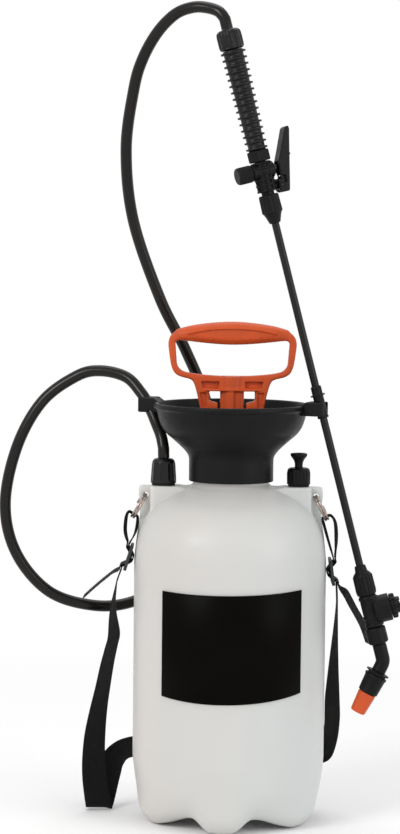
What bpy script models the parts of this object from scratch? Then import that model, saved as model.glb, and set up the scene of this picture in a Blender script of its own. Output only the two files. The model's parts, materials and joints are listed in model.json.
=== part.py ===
"""Five litre compression sprayer with pump, fill funnel, shoulder strap, hose, trigger and lance.

All sizes below are millimetres in the tank's own frame: the tank stands on z = 0 with its axis on
x = y = 0, and the viewer stands at -Y. Meshes are written in metres. The whole assembly hangs on one
empty that puts the middle of its footprint on the origin.
"""

import math

import bmesh
import bpy
import numpy as np
from mathutils import Matrix, Vector

MM = 0.001
GAP = 0.4

# Place of the tank's axis in the finished frame
AXIS_X = -10.9
AXIS_Y = -2.86

# Tank
TANK_R = 91.0
NECK_R = 36.0
NECK_BORE = 31.5
NECK_TOP = 344.0
BOSS_TOP = 319.0
BOSS_X = 64.0
EAR_X = 87.4
EAR_HALF = 4.0
RING_HOLE = (80.6, 310.0)
RING_HOLE_R = 3.4
PETALS = 5
PETAL_TURN = -93.5
BASE_START = 62.0

# Label panel
LABEL_SPAN = (-43.5, 46.0)
LABEL_LOW = (124.5, 1.85, 5.9)
LABEL_HIGH = (225.8, 0.9, 2.1)
LABEL_THICK = 0.5

# Funnel and its two side arms
RIM_R = 74.0
RIM_Z = 397.5
COLLAR_R = 40.0
ARM_TURN = -18.7
ARM_Z = (388.0, 401.3)
HOOK_REACH = 91.0
FORK_REACH = 92.6

# Pump
BARREL_R = 22.2
BARREL_BORE = 20.2
BARREL_Z = (92.0, 339.6)
ROD_R = 6.0
HUB_TOP = 386.0
LUG_TURN = 52.0

# Hose
HOSE_R = 5.5
HOSE_STEP = 25.0

# Trigger grip and lance: distances run along the lance from its clip, up towards the hose
CLIP_POINT = (82.6, -28.0, 397.6)
LANCE_LEAN = 14.6
TRIGGER_TURN = 20.0
LANCE_R = 3.6
LANCE_BORE = 2.4
VALVE_S = 226.0
PIVOT = (13.6, 209.4)
REGULATOR_S = -199.2
ELBOW_S = -248.6
ELBOW_TURN = 41.0
ELBOW_R = 5.8
FIN_COUNT = 16

# Strap furniture
WEB_WIDTH = 25.0
WEB_THICK = 1.2
RING_R = 12.6
RING_WIRE = 0.9
RING_PITCH = 2.3
SPRING_WIRE = 0.6
LEFT_RING_LEAN = (-0.517, -0.856)
RIGHT_RING_LEAN = (0.42, -0.907)
LEFT_BUCKLE = ((-96.3, 250.5), (0.30, 0.954))
RIGHT_BUCKLE = ((96.4, 238.5), (-0.135, 0.99))

# Route of the hose from the outlet nut, through the hook, round behind the tank and up to the grip
HOSE_ROUTE = (
    (-64, 0, 345), (-64.2, 0.4, 354), (-66.6, 5, 365), (-71.2, 12.6, 376), (-75.3, 17.8, 385.5),
    (-79.6, 22.2, 394), (-86, 27.5, 404), (-101, 36, 419), (-126, 42, 424.5), (-149, 45, 419),
    (-182, 47, 394), (-206, 47, 350), (-217, 48, 294), (-206, 52, 246), (-174, 57, 208.5),
    (-130, 64, 194.6), (-93, 76, 197.6), (-68, 92, 214), (-39, 103, 250), (-19, 105, 295), (-16, 101, 335),
    (-24, 92, 392), (-45, 80, 444), (-70, 67, 494), (-96, 50, 569), (-103, 36, 636), (-96, 22, 692),
    (-88, 14, 720), (-74, 5, 745), (-57, -4, 762), (-40, -13, 768), (-26, -20, 767), (-16, -26, 763),
    (-10.9, -28, 756.6), (-8.45, -28, 747.14),
)
HOOK_POINT = 5

# Strap: x, y, z, then the direction of its width, then the share of its full width
LEFT_TAIL = (
    (-138.9, 8, 211, 0, 1, 0, 1), (-131.4, 7.4, 218, 0, 1, 0, 1), (-124.8, 6.6, 224, 0, 1, 0, 1),
    (-118, 5, 229.9, 0, 1, 0, 1), (-111.3, 2.5, 235.4, 0, 1, 0, 1),
)
LEFT_LOOP = (
    (-98.8, 0, 270, 0, 1, 0, 0.85), (-99.8, 0, 276, 0, 1, 0, 0.7), (-99.4, 0, 285, 0, 1, 0, 0.5),
    (-98.3, 0, 291, 0, 1, 0, 0.36), (-96, 0, 293.6, 0, 1, 0, 0.36), (-92.1, 0, 291.3, 0, 1, 0, 0.36),
    (-88.5, 0, 289, 0, 1, 0, 0.36), (-87.9, 0, 284.5, 0, 1, 0, 0.36), (-88.6, 0, 279, 0, 1, 0, 0.6),
    (-90.4, 0, 273, 0, 1, 0, 0.8), (-93.2, 0, 267.5, 0, 1, 0, 0.95),
)
STRAP_DROP = (
    (-105.8, 2, 231.5, 0, 1, 0, 1), (-108, 4, 224, 0, 1, 0, 1), (-110, 7.5, 213, 0.08, 1, 0, 1),
    (-111.2, 10.5, 203, 0.16, 1, 0, 1), (-112, 14, 190, 0.27, 0.97, 0, 1), (-112, 19, 170, 0.43, 0.9, 0, 1),
    (-115.5, 25, 145, 0.5, 0.87, 0, 1), (-120, 30, 122, 0.56, 0.83, 0, 1),
    (-124, 34, 100, 0.66, 0.75, 0, 1),
    (-127, 37, 75, 0.76, 0.65, 0, 1), (-128.5, 39, 48, 0.84, 0.54, 0, 1),
    (-128.2, 40.5, 26, 0.87, 0.5, 0, 1),
    (-127.6, 41.3, 13, 0.87, 0.5, 0, 1), (-126.3, 44, 6.6, 0.87, 0.5, 0, 1),
    (-125.3, 47.3, 4.6, 0.87, 0.45, 0, 1),
    (-124, 51, 7, 0.87, 0.42, 0, 1), (-122.6, 53.8, 13, 0.87, 0.42, -0.05, 1),
    (-119.5, 56.5, 25, 0.85, 0.4, -0.25, 1), (-113.5, 60.5, 40, 0.75, 0.33, -0.5, 1),
    (-104, 66, 54, 0.5, 0.2, -0.8, 1), (-90, 73.6, 64.5, 0.2, 0.05, -0.97, 1), (-66, 81, 72, 0, 0, -1, 1),
    (-46, 87, 70, 0, 0, -1, 1), (-24, 94, 67, 0, 0, -1, 1), (0, 97, 65, 0, 0, -1, 1),
    (24, 94, 63, 0, 0, -1, 1),
    (46, 86, 61, 0, 0, -1, 1), (68, 72.5, 58, 0, 0, -1, 1), (85, 62, 55, 0.1, -0.1, -1, 1),
    (95, 54, 59, 0.3, -0.45, -0.8, 1), (99.5, 45, 74, 0.45, -0.75, -0.4, 1),
    (100.4, 34, 94, 0.5, -0.8, -0.15, 1),
    (100.2, 24, 114, 0.46, -0.85, 0, 1), (100.6, 12, 150, 0.28, -0.95, 0, 1),
    (101.6, 3, 188, 0.08, -1, 0, 1),
    (102, 0.5, 206, 0, -1, 0, 1), (101.8, 0, 216, 0, -1, 0, 1),
)
RIGHT_LOOP = (
    (95.6, 0, 259, 0, -1, 0, 0.95), (93.4, 0, 266.5, 0, -1, 0, 0.8), (91, 0, 274, 0, -1, 0, 0.6),
    (89, 0, 281, 0, -1, 0, 0.45), (87.6, 0, 286, 0, -1, 0, 0.36), (87.1, 0, 288.8, 0, -1, 0, 0.36),
    (89.9, 0, 290.05, 0, -1, 0, 0.36), (93.9, 0, 291.9, 0, -1, 0, 0.36), (97.2, 0, 289.6, 0, -1, 0, 0.36),
    (99.4, 0, 284.5, 0, -1, 0, 0.4), (100.3, 0, 277, 0, -1, 0, 0.6), (100.4, 0, 268, 0, -1, 0, 0.8),
    (100, 0, 259, 0, -1, 0, 0.95),
)
RIGHT_TAIL = (
    (107.5, 0.5, 221.5, 0.24, -0.96, 0.12, 1), (112.5, 1, 213.5, 0.24, -0.96, 0.12, 1),
    (117, 1.5, 205, 0.24, -0.96, 0.12, 1), (122, 2, 196.5, 0.24, -0.96, 0.12, 1),
    (127.2, 2.5, 187, 0.24, -0.96, 0.12, 1), (131, 3, 177.5, 0.24, -0.96, 0.12, 1),
    (134, 4, 168.6, 0.24, -0.96, 0.12, 1),
)

# Weave of the two strap layers through a buckle: along the buckle, then out from it
DROP_WEAVE = (
    (-13, 3.1), (-9.7, 3.1), (-6.1, -0.6), (-2.5, -3.9), (0, -4.2), (2.5, -3.9), (6.1, -0.6), (9.7, 3.1),
    (13, 3.1),
)
TAIL_WEAVE = (
    (-13, 5), (-9.3, 5), (-5.8, 1.4), (-2.2, -2.1), (0, -2.4), (2.2, -2.1), (5.8, 1.4), (9.3, 5), (13, 5),
)

FINISHES = {
    "translucent_polyethylene": ((0.72, 0.72, 0.69), 0.38, 0.0),
    "black_label": ((0.012, 0.012, 0.013), 0.32, 0.0),
    "black_plastic": ((0.016, 0.016, 0.017), 0.42, 0.0),
    "orange_plastic": ((0.68, 0.12, 0.03), 0.4, 0.0),
    "grey_plastic": ((0.09, 0.09, 0.095), 0.45, 0.0),
    "white_plastic": ((0.75, 0.75, 0.73), 0.4, 0.0),
    "black_rubber": ((0.02, 0.02, 0.02), 0.7, 0.0),
    "hose_vinyl": ((0.014, 0.014, 0.015), 0.36, 0.0),
    "webbing": ((0.018, 0.018, 0.019), 0.85, 0.0),
    "nickel_steel": ((0.62, 0.6, 0.57), 0.25, 1.0),
}


def finish(name):
    """One Principled material for each named finish, made once."""
    found = bpy.data.materials.get(name)
    if found:
        return found
    colour, roughness, metallic = FINISHES[name]
    made = bpy.data.materials.new(name)
    made.use_nodes = True
    shader = made.node_tree.nodes["Principled BSDF"]
    shader.inputs["Base Color"].default_value = (*colour, 1.0)
    shader.inputs["Roughness"].default_value = roughness
    shader.inputs["Metallic"].default_value = metallic
    return made


def empty(name, parent, place=(0, 0, 0), turn=(0, 0, 0)):
    """An empty that carries pieces: place in millimetres and turn in degrees, under its parent."""
    made = bpy.data.objects.new(name, None)
    bpy.context.collection.objects.link(made)
    made.parent = parent
    made.location = Vector(place) * MM
    made.rotation_euler = [math.radians(a) for a in turn]
    return made


def solid(name, points, faces, look, parent, guide=False):
    """A closed mesh object from points in millimetres, with its faces turned outwards."""
    mesh = bpy.data.meshes.new(name)
    work = bmesh.new()
    corners = [work.verts.new(Vector(p) * MM) for p in points]
    for face in faces:
        work.faces.new([corners[i] for i in face])
    bmesh.ops.recalc_face_normals(work, faces=work.faces)
    work.to_mesh(mesh)
    work.free()
    mesh.shade_smooth()
    mesh.set_sharp_from_angle(angle=math.radians(35))
    made = bpy.data.objects.new(name, mesh)
    bpy.context.collection.objects.link(made)
    made.parent = parent
    if look:
        mesh.materials.append(finish(look))
    if guide:
        made.hide_render = True
        made.display_type = "WIRE"
    return made


def loft(name, rings, look, parent, loop=False, guide=False):
    """Skin a list of equal rings of points. A loop joins the last ring to the first; otherwise both ends
    are capped."""
    rows = np.asarray(rings, float)
    count, sides = rows.shape[:2]
    faces = []
    for row in range(count if loop else count - 1):
        here, there = row * sides, (row + 1) % count * sides
        for k in range(sides):
            after = (k + 1) % sides
            faces.append((here + k, here + after, there + after, there + k))
    if not loop:
        faces.append(tuple(range(sides)))
        faces.append(tuple(range((count - 1) * sides, count * sides)))
    return solid(name, rows.reshape(-1, 3), faces, look, parent, guide)


def circle(radius, z, sides, flutes=0, depth=0.0):
    """A ring of points round Z; flutes sink it by depth as a rounded wave."""
    angle = np.linspace(0, 2 * math.pi, sides, endpoint=False)
    reach = radius - depth * (0.5 - 0.5 * np.cos(flutes * angle))
    return np.stack((reach * np.cos(angle), reach * np.sin(angle), np.full(sides, z)), axis=1)


def turned(
    name, profile, look, parent, sides=28, loop=False, flutes=0, axis="Z", middle=(0, 0, 0), guide=False,
):
    """Turn a profile of (radius, height) or (radius, height, flute depth) round an axis through a middle
    point."""
    rings = np.array([circle(p[0], p[1], sides, flutes, p[2] if len(p) > 2 else 0.0) for p in profile])
    if axis == "X":
        rings = rings[..., [2, 1, 0]] * (1, -1, 1)
    if axis == "Y":
        rings = rings[..., [0, 2, 1]]
    return loft(name, rings + np.asarray(middle, float), look, parent, loop, guide)


def prism(name, outline, low, high, look, parent, axis="Y", guide=False):
    """Extrude an outline along an axis, from low to high. The outline is in XZ for Y and in XY for Z."""
    flat = np.asarray(outline, float)
    rings = []
    for level in (low, high):
        column = np.full(len(flat), level)
        order = (flat[:, 0], column, flat[:, 1]) if axis == "Y" else (flat[:, 0], flat[:, 1], column)
        rings.append(np.stack(order, axis=1))
    return loft(name, rings, look, parent, guide=guide)


def box(name, low, high, look, parent, guide=False):
    """A rectangular block between two corners."""
    outline = ((low[0], low[2]), (high[0], low[2]), (high[0], high[2]), (low[0], high[2]))
    return prism(name, outline, low[1], high[1], look, parent, guide=guide)


def rounded(corners, radius, steps=4):
    """Round every corner of a polygon with an arc-like curve, cut back by radius or half the shorter
    side."""
    points = [np.asarray(c, float) for c in corners]
    out = []
    for before, here, after in zip(points[-1:] + points[:-1], points, points[1:] + points[:1]):
        back, ahead = before - here, after - here
        cut = min(radius, 0.49 * np.linalg.norm(back), 0.49 * np.linalg.norm(ahead))
        start = here + back / np.linalg.norm(back) * cut
        end = here + ahead / np.linalg.norm(ahead) * cut
        for t in np.linspace(0, 1, steps + 1):
            out.append(start * (1 - t) ** 2 + here * 2 * t * (1 - t) + end * t * t)
    return np.array(out)


def combine(piece, tool, operation):
    """Leave an exact Boolean on the piece; the tool stays as a hidden guide."""
    step = piece.modifiers.new(tool.name, "BOOLEAN")
    step.operation = operation
    step.solver = "EXACT"
    step.object = tool
    tool.hide_render = True
    tool.display_type = "WIRE"


def fuse(piece, *tools):
    for tool in tools:
        combine(piece, tool, "UNION")


def cut(piece, *tools):
    for tool in tools:
        combine(piece, tool, "DIFFERENCE")


def smooth_path(points, steps):
    """A Catmull-Rom curve through rows of numbers, with a fixed count of steps for each span."""
    rows = np.asarray(points, float)
    ends = np.vstack((2 * rows[0] - rows[1], rows, 2 * rows[-1] - rows[-2]))
    t = np.linspace(0, 1, steps, endpoint=False)[:, None]
    spans = []
    for a, b, c, d in zip(ends[:-3], ends[1:-2], ends[2:-1], ends[3:]):
        spans.append(
            0.5 * (2 * b + (c - a) * t + (2 * a - 5 * b + 4 * c - d) * t**2 + (3 * b - a - 3 * c + d) * t**3),
        )
    return np.vstack(spans + [rows[-1:]])


def even_path(points, step):
    """The smooth curve through the points, read again at equal steps along its length."""
    fine = smooth_path(points, 24)
    run = np.concatenate(([0], np.cumsum(np.linalg.norm(np.diff(fine, axis=0), axis=1))))
    stations = np.linspace(0, run[-1], int(round(run[-1] / step)) + 1)
    return np.stack([np.interp(stations, run, fine[:, k]) for k in range(3)], axis=1)


def tube(name, points, radius, look, parent, resolution):
    """A round tube along a path: a polyline curve with a bevel and filled caps."""
    curve = bpy.data.curves.new(name, "CURVE")
    curve.dimensions = "3D"
    curve.bevel_depth = radius * MM
    curve.bevel_resolution = resolution
    curve.use_fill_caps = True
    line = curve.splines.new("POLY")
    line.points.add(len(points) - 1)
    for slot, place in zip(line.points, points):
        slot.co = (*(Vector(place) * MM), 1.0)
    made = bpy.data.objects.new(name, curve)
    bpy.context.collection.objects.link(made)
    made.parent = parent
    curve.materials.append(finish(look))
    return made


def coil(turns, radius, length, per_turn):
    """Points of a helix round Z that climbs by length over its turns."""
    t = np.linspace(0, 1, turns * per_turn + 1)
    angle = 2 * math.pi * turns * t
    return np.stack((radius * np.cos(angle), radius * np.sin(angle), length * t), axis=1)


def print_gap(name, points, per_turn, wire):
    """Print the least clear distance between points of a wound wire that lie over half a turn apart."""
    apart = np.linalg.norm(points[:, None] - points[None], axis=2)
    order = np.arange(len(points))
    far = np.abs(order[:, None] - order[None]) > per_turn // 2
    print(f"{name} least gap between turns mm:", round(float(apart[far].min()) - 2 * wire, 2))


def petal_share(angle):
    """1 on a foot's flat pad and 0 in the valley between two feet."""
    wave = (1 - np.cos(PETALS * (angle - math.radians(PETAL_TURN)))) / 2
    return np.minimum(1, (1 - wave**1.4) * 1.04)


def tank_rings(shoulder, foot, valley, sides):
    """Rings of the tank from its neck down: plain circles, then feet and valleys mixed round the base."""
    angle = np.linspace(0, 2 * math.pi, sides, endpoint=False)
    share = petal_share(angle)
    rings = [circle(r, z, sides) for r, z in shoulder]
    for (foot_r, foot_z), (valley_r, valley_z) in zip(foot, valley):
        reach = valley_r + (foot_r - valley_r) * share
        height = valley_z + (foot_z - valley_z) * share
        rings.append(np.stack((reach * np.cos(angle), reach * np.sin(angle), height), axis=1))
    return rings


def build_tank(root):
    """Blow-moulded tank: neck, domed shoulder, plain wall and a base of petal feet, with a boss and ear
    each side."""
    sides = PETALS * 8
    shoulder = (
        (NECK_R, NECK_TOP), (NECK_R, 321), (45, 317), (58, 310), (70, 301.5), (80, 290.5), (87, 277),
        (90.2, 262),
        (TANK_R, 248), (TANK_R, BASE_START),
    )
    foot = ((91, 40), (90.4, 24), (87, 11), (81, 3.5), (75, 0), (65, 0), (55, 5.5), (40, 12), (8, 13))
    valley = ((90, 52), (87, 43), (82, 35), (76, 29.5), (70, 25.5), (62, 22), (52, 18.5), (38, 15), (8, 13))
    tank = loft("tank", tank_rings(shoulder, foot, valley, sides), "translucent_polyethylene", root)
    inside = (
        (NECK_BORE, NECK_TOP + 3), (NECK_BORE, 319), (56, 307), (68, 298.5), (77.5, 287.5), (84.4, 275),
        (88.3, 248),
        (88.3, 62), (84, 46), (72, 34), (50, 24), (8, 19),
    )
    hollow = turned("tank_hollow", inside, None, root, 24, guide=True)
    tools = []
    for side in (-1, 1):
        name = "left" if side < 0 else "right"
        pad = rounded(((46 * side, -15), (46 * side, 15), (77 * side, 15), (77 * side, -15)), 11, 2)
        middle = pad.mean(axis=0)
        rings = []
        for inset, z in ((1.0, 245), (1.0, BOSS_TOP - 2), (0.9, BOSS_TOP)):
            flat = middle + (pad - middle) * inset
            rings.append(np.column_stack((flat, np.full(len(flat), z))))
        boss = loft(f"boss_{name}", rings, None, root, guide=True)
        ear = (
            (70, 250), (90, 258), (88.2, 275), (85.8, 290), (86.3, 304), (EAR_X, 311), (86.2, 316),
            (82.5, BOSS_TOP), (70, BOSS_TOP),
        )
        outline = [(x * side, z) for x, z in ear]
        fin = prism(f"ear_{name}", outline, -EAR_HALF, EAR_HALF, None, root, guide=True)
        fuse(tank, boss, fin)
        eye = turned(
            f"ear_eye_{name}", ((RING_HOLE_R, -7), (RING_HOLE_R, 7)), None, root, 12, axis="Y",
            middle=(RING_HOLE[0] * side, 0, RING_HOLE[1]), guide=True,
        )
        bore_r = 7.4 if side < 0 else 6.4
        bore = turned(
            f"boss_bore_{name}", ((bore_r, 225), (bore_r, BOSS_TOP + 4)), None, root, 14,
            middle=(BOSS_X * side, 0, 0), guide=True,
        )
        tools += [eye, bore]
    cut(tank, hollow, *tools)


def build_label(root):
    """Bare label panel, a thin band round the tank's front whose edges bow and tilt a little."""
    columns = 19
    start, end = (math.radians(a - 90) for a in LABEL_SPAN)
    angle = np.linspace(start, end, columns)
    rings = []
    share = np.linspace(-1, 1, columns)
    low, high = (a + b * share + c * share**2 for a, b, c in (LABEL_LOW, LABEL_HIGH))
    inner, outer = TANK_R + GAP, TANK_R + GAP + LABEL_THICK
    for reach, z in ((inner, low), (outer, low), (outer, high), (inner, high)):
        rings.append(np.stack((reach * np.cos(angle), reach * np.sin(angle), z), axis=1))
    loft("label_panel", np.array(rings).transpose(1, 0, 2), "black_label", root)


def hose_heading():
    """Direction of the hose where the hook holds it."""
    before, after = (np.asarray(HOSE_ROUTE[HOOK_POINT + k], float) for k in (-1, 1))
    return (after - before) / np.linalg.norm(after - before)


def build_funnel(root):
    """Fill funnel on the neck: collar, bowl and rolled rim, with a hose hook and a lance fork on one
    diameter."""
    wall = (
        (COLLAR_R, 324), (COLLAR_R, 347), (44.2, 353), (54.4, 362.4), (61.6, 368.4), (66, 374), (69, 381.5),
        (71.2, 391), (RIM_R, 393), (RIM_R, 396), (72.4, RIM_Z), (69.6, 397), (66.6, 382), (63.6, 375.4),
        (59.2, 370), (52, 363.8), (41.4, 353.6), (37, 347.2),
        (32.4, 347.2), (32.4, NECK_TOP + GAP), (NECK_R + GAP, NECK_TOP + GAP), (NECK_R + GAP, 324),
    )
    funnel = turned("funnel", wall, "black_plastic", root, 28, loop=True)
    arms = empty("arm_line", root, turn=(0, 0, ARM_TURN))
    low, high = ARM_Z
    shape = rounded(((69.5, -11), (FORK_REACH, -9.6), (FORK_REACH, 9.6), (69.5, 11)), 3.5)
    fork = prism("fork_arm", shape, low, high, None, arms, "Z", True)
    shape = rounded(((-69.5, -13.5), (-69.5, 8), (-HOOK_REACH, 7), (-HOOK_REACH, -12.5)), 4)
    hook = prism("hook_arm", shape, low - 1, high, None, arms, "Z", True)
    bowl = turned("bowl_room", ((68.6, low - 3), (69.6, 404)), None, root, 28, guide=True)
    cut(fork, bowl)
    cut(hook, bowl)
    fuse(funnel, fork, hook)
    lance = empty("fork_slot_line", root, CLIP_POINT, (0, -LANCE_LEAN, 0))
    seat = turned("fork_seat", ((5.6, -30), (5.6, 30)), None, lance, 16, guide=True)
    reach = math.hypot(CLIP_POINT[0], CLIP_POINT[1])
    mouth = box("fork_mouth", (reach, -5.6, low - 5), (reach + 20, 5.6, high + 5), None, arms, True)
    heading = Vector(hose_heading())
    passage = empty("hook_line", root, HOSE_ROUTE[HOOK_POINT])
    passage.rotation_euler = heading.to_track_quat("Z", "Y").to_euler()
    eye = turned("hook_eye", ((7.3, -30), (7.3, 30)), None, passage, 16, guide=True)
    slit = box("hook_slit", (-4.5, 0, -30), (4.5, 26, 30), None, passage, True)
    cut(funnel, seat, mouth, eye, slit)


def build_pump(root):
    """Pump in the neck: cap with locking lugs, neck seal, barrel, check valve, rod, piston and its cup
    seal."""
    cap_wall = (
        (6.5, HUB_TOP), (15.5, HUB_TOP), (17, HUB_TOP - 1.5), (17, 357), (35, 354), (35, 347.7),
        (31, 347.7),
        (31, 334), (28.9, 334), (28.9, 330.4), (31, 330.4), (31, 322), (22.7, 322), (22.7, 340), (6.5, 340),
    )
    cap = turned("pump_cap", cap_wall, "black_plastic", root, 20, loop=True)
    for k in (0, 180):
        line = empty(f"lug_line_{k}", root, turn=(0, 0, LUG_TURN + k))
        fuse(cap, box(f"lock_lug_{k}", (15.5, -7, 380.2), (22.4, 7, 385.4), None, line, True))
    seal = ((29.2, 330.8), (30.9, 330.8), (30.9, 333.6), (29.2, 333.6))
    turned("neck_seal", seal, "black_rubber", root, 20, loop=True)
    low, high = BARREL_Z
    barrel = (
        (BARREL_R, high), (BARREL_R, low), (4, low), (4, low + 3), (BARREL_BORE, low + 3),
        (BARREL_BORE, high),
    )
    turned("pump_barrel", barrel, "white_plastic", root, 20, loop=True)
    flap = ((3.6, 97), (3.6, low - GAP), (10, low - GAP), (9, low - 3))
    turned("pump_check_valve", flap, "black_rubber", root, 14)
    turned("pump_rod", ((ROD_R, 414), (ROD_R, 112)), "white_plastic", root, 14)
    piston = ((18.5, 111.6), (18.5, 108), (16, 108), (16, 103), (18.5, 103), (18.5, 100))
    turned("piston", piston, "white_plastic", root, 16)
    cup = ((16.3, 103.3), (18.4, 103.3), (19.7, 107.7), (16.3, 107.7))
    turned("piston_seal", cup, "black_rubber", root, 20, loop=True)


def build_handle(root):
    """Pump handle: an arched grip over a loop, shoulders and a stem, with two legs that hook under the
    cap's lugs."""
    plate = (
        (0, 472.5), (40, 469.5), (54, 465.5), (60.3, 458), (60.6, 452), (57.6, 431), (52.5, 424),
        (41, 420.6),
        (36.6, 418), (32.6, 404.6), (29.8, 391), (29.8, 372), (19.2, 372), (19.2, 377), (24.4, 377),
        (24.4, 391.5),
        (13.4, 391.5), (13.4, 397.5), (21.5, 399.8), (21.5, 409), (11, 409), (11, 388),
    )
    other_half = [(-x, z) for x, z in reversed(plate) if x]
    handle = prism("pump_handle", rounded(list(plate) + other_half, 2, 1), -7, 7, "orange_plastic", root)
    span = np.linspace(-1, 1, 11)
    grip = []
    for t in span:
        taper = (1 - abs(t) ** 6) ** 0.5 * 0.35 + 0.65
        crown = 464.1 - 1.9 * abs(t) ** 3
        angle = np.linspace(0, 2 * math.pi, 12, endpoint=False)
        depth, height = 12.0 * taper, 10.3 - 5.9 * abs(t) ** 1.9
        loop = (np.full(12, 52.0 * t), depth * np.cos(angle), crown + height * np.sin(angle))
        grip.append(np.stack(loop, axis=1))
    bar = loft("handle_grip", grip, None, root, guide=True)
    stem = turned("handle_stem", ((11.2, 422.0), (11.2, 387.6)), None, root, 16, guide=True)
    upper = ((0, 453.6), (24.4, 455.2), (47.5, 457.9), (51.5, 457.8), (54, 455))
    lower = ((52.2, 432.4), (47.5, 427.4), (41, 425.9), (33, 424.7), (18.8, 423.5), (0, 422.9))
    half = upper + lower
    opening = rounded(list(half) + [(-x, z) for x, z in reversed(half) if x], 2, 1)
    fuse(handle, bar, stem)
    finger_gap = prism("handle_opening", opening, -20, 20, None, root, guide=True)
    socket = turned("stem_socket", ((ROD_R + GAP, 380), (ROD_R + GAP, 414.5)), None, root, 20, guide=True)
    cut(handle, finger_gap, socket)
    lens = (
        (-43.5, 462.2), (-24, 466.8), (0, 468.2), (24, 466.8), (43.5, 462.2), (24, 459.5), (0, 458.5),
        (-24, 459.5),
    )
    for side in (-1, 1):
        near, far = sorted((10.2 * side, 16.0 * side))
        thumb = prism(f"grip_recess_{side}", lens, near, far, None, root, guide=True)
        near, far = sorted((8.0 * side, 14.0 * side))
        groove = box(f"stem_groove_{side}", (1.4, near, 386), (6.4, far, 409.2), None, root, True)
        cut(handle, thumb, groove)
        near, far = sorted((4.0 * side, 9.0 * side))
        for mirror in (-1, 1):
            corners = [(x * mirror, z) for x, z in ((13, 417.3), (28.7, 417.3), (27.8, 412.3), (13, 412.3))]
            cut(
                handle,
                prism(f"shoulder_recess_{side}_{mirror}", corners, near, far, None, root, guide=True),
            )


def build_outlet(root):
    """Hose outlet on the left boss: stem through the wall, washer, fluted nut, dip tube and its filter."""
    line = empty("outlet_line", root, (-BOSS_X, 0, 0))
    stem = (
        (1.6, 343), (4.2, 343), (4.7, 341), (4.7, 326), (11, 324.2), (11, 321.3), (7, 321.3), (7, 298),
        (2.7, 298),
        (2.7, 286), (1.6, 286),
    )
    turned("outlet_stem", stem, "black_plastic", line, 12, loop=True)
    turned(
        "outlet_seal", ((7.4, 319.4), (11, 319.4), (11, 320.9), (7.4, 320.9)), "black_rubber", line, 16,
        loop=True,
    )
    nut = (
        (5.1, 344.6), (8.4, 344.6), (10.2, 343.4), (11.1, 340.6, 0.9), (12.1, 326, 1.2), (12.1, 322),
        (11.8, 321.3),
        (11.4, 321.3), (11.4, 326.4), (5.1, 326.4),
    )
    turned("outlet_nut", nut, "black_plastic", line, 20, loop=True, flutes=10)
    dip = ((4, 297.6), (4, 42), (3, 42), (3, 297.6))
    turned("dip_tube", dip, "white_plastic", line, 10, loop=True)
    cage = ((4.4, 57), (6.5, 56), (6.5, 38), (5.5, 37), (1.5, 37), (1.5, 39), (4.4, 40))
    turned("dip_filter", cage, "black_plastic", line, 12, loop=True)


def build_relief(root):
    """Pressure relief valve on the right boss: body, washer, spring and the pull knob."""
    line = empty("relief_line", root, (BOSS_X, 0, 0))
    body = (
        (4.2, 337), (8.2, 337), (10.4, 335.6), (11.1, 332, 0.5), (11.1, 323, 0.7), (11.1, 321.3),
        (6, 321.3), (6, 297),
        (2.2, 297), (2.2, 323), (7.5, 323), (7.5, 335.2), (4.2, 335.2),
    )
    turned("relief_body", body, "black_plastic", line, 20, loop=True, flutes=10)
    turned(
        "relief_seal", ((6.5, 319.4), (10, 319.4), (10, 320.9), (6.5, 320.9)), "black_rubber", line, 16,
        loop=True,
    )
    knob = (
        (6.5, 350.9), (7.9, 350), (8.2, 348), (7.6, 346.2), (4.6, 344.4), (3.8, 342.5), (3.8, 325.6),
        (6, 325.6), (6, 324),
    )
    turned("relief_knob", knob, "black_plastic", line, 14)
    spring = coil(3, 5.3, 7.6, 9) + (0, 0, 326.8)
    print_gap("relief_spring", spring, 9, SPRING_WIRE)
    tube("relief_spring", spring, SPRING_WIRE, "nickel_steel", line, 1)


def build_hose(root):
    """Hose: a plain tube along the smooth curve through its route, square to the nut at each end."""
    path = np.vstack((HOSE_ROUTE[0], even_path(HOSE_ROUTE[1:-1], HOSE_STEP), HOSE_ROUTE[-1]))
    print("hose length mm:", round(float(np.linalg.norm(np.diff(path, axis=0), axis=1).sum()), 1))
    tube("hose", path, HOSE_R, "hose_vinyl", root, 2)


def build_grip(lance):
    """Hand grip: hose nut, tapered core with a row of fins, and the ribbed collar below it."""
    nut = (
        (5.1, 360.8), (8.8, 360.8), (10.8, 359.2), (11.8, 356.4, 1.1), (11.8, 344, 1.1), (10.8, 341.6),
        (5.1, 341.6),
    )
    turned("hose_nut", nut, "black_plastic", lance, 20, loop=True, flutes=10)
    top, pitch = 340.2, 6.08
    core, fin = (9.5, 8.2), (12.1, 10.4)
    profile = [(4.6, 356), (4.6, 341), (core[0], 341)]
    for k in range(FIN_COUNT):
        share = k / (FIN_COUNT - 1)
        inner = core[0] + (core[1] - core[0]) * share
        outer = fin[0] + (fin[1] - fin[0]) * share
        start = top - k * pitch
        profile += [(inner, start), (outer, start - 0.6), (outer, start - 2.2), (inner, start - 2.8)]
    profile += [(core[1], 245.8), (5, 245.8)]
    turned("grip", profile, "black_plastic", lance, 10)
    collar = ((5.6, 245.4), (9.4, 245.4), (10.2, 244.5, 0.5), (10.2, 236, 0.5), (9.6, 235), (5.6, 235))
    turned("grip_collar", collar, "black_plastic", lance, 20, loop=True, flutes=10)


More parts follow.
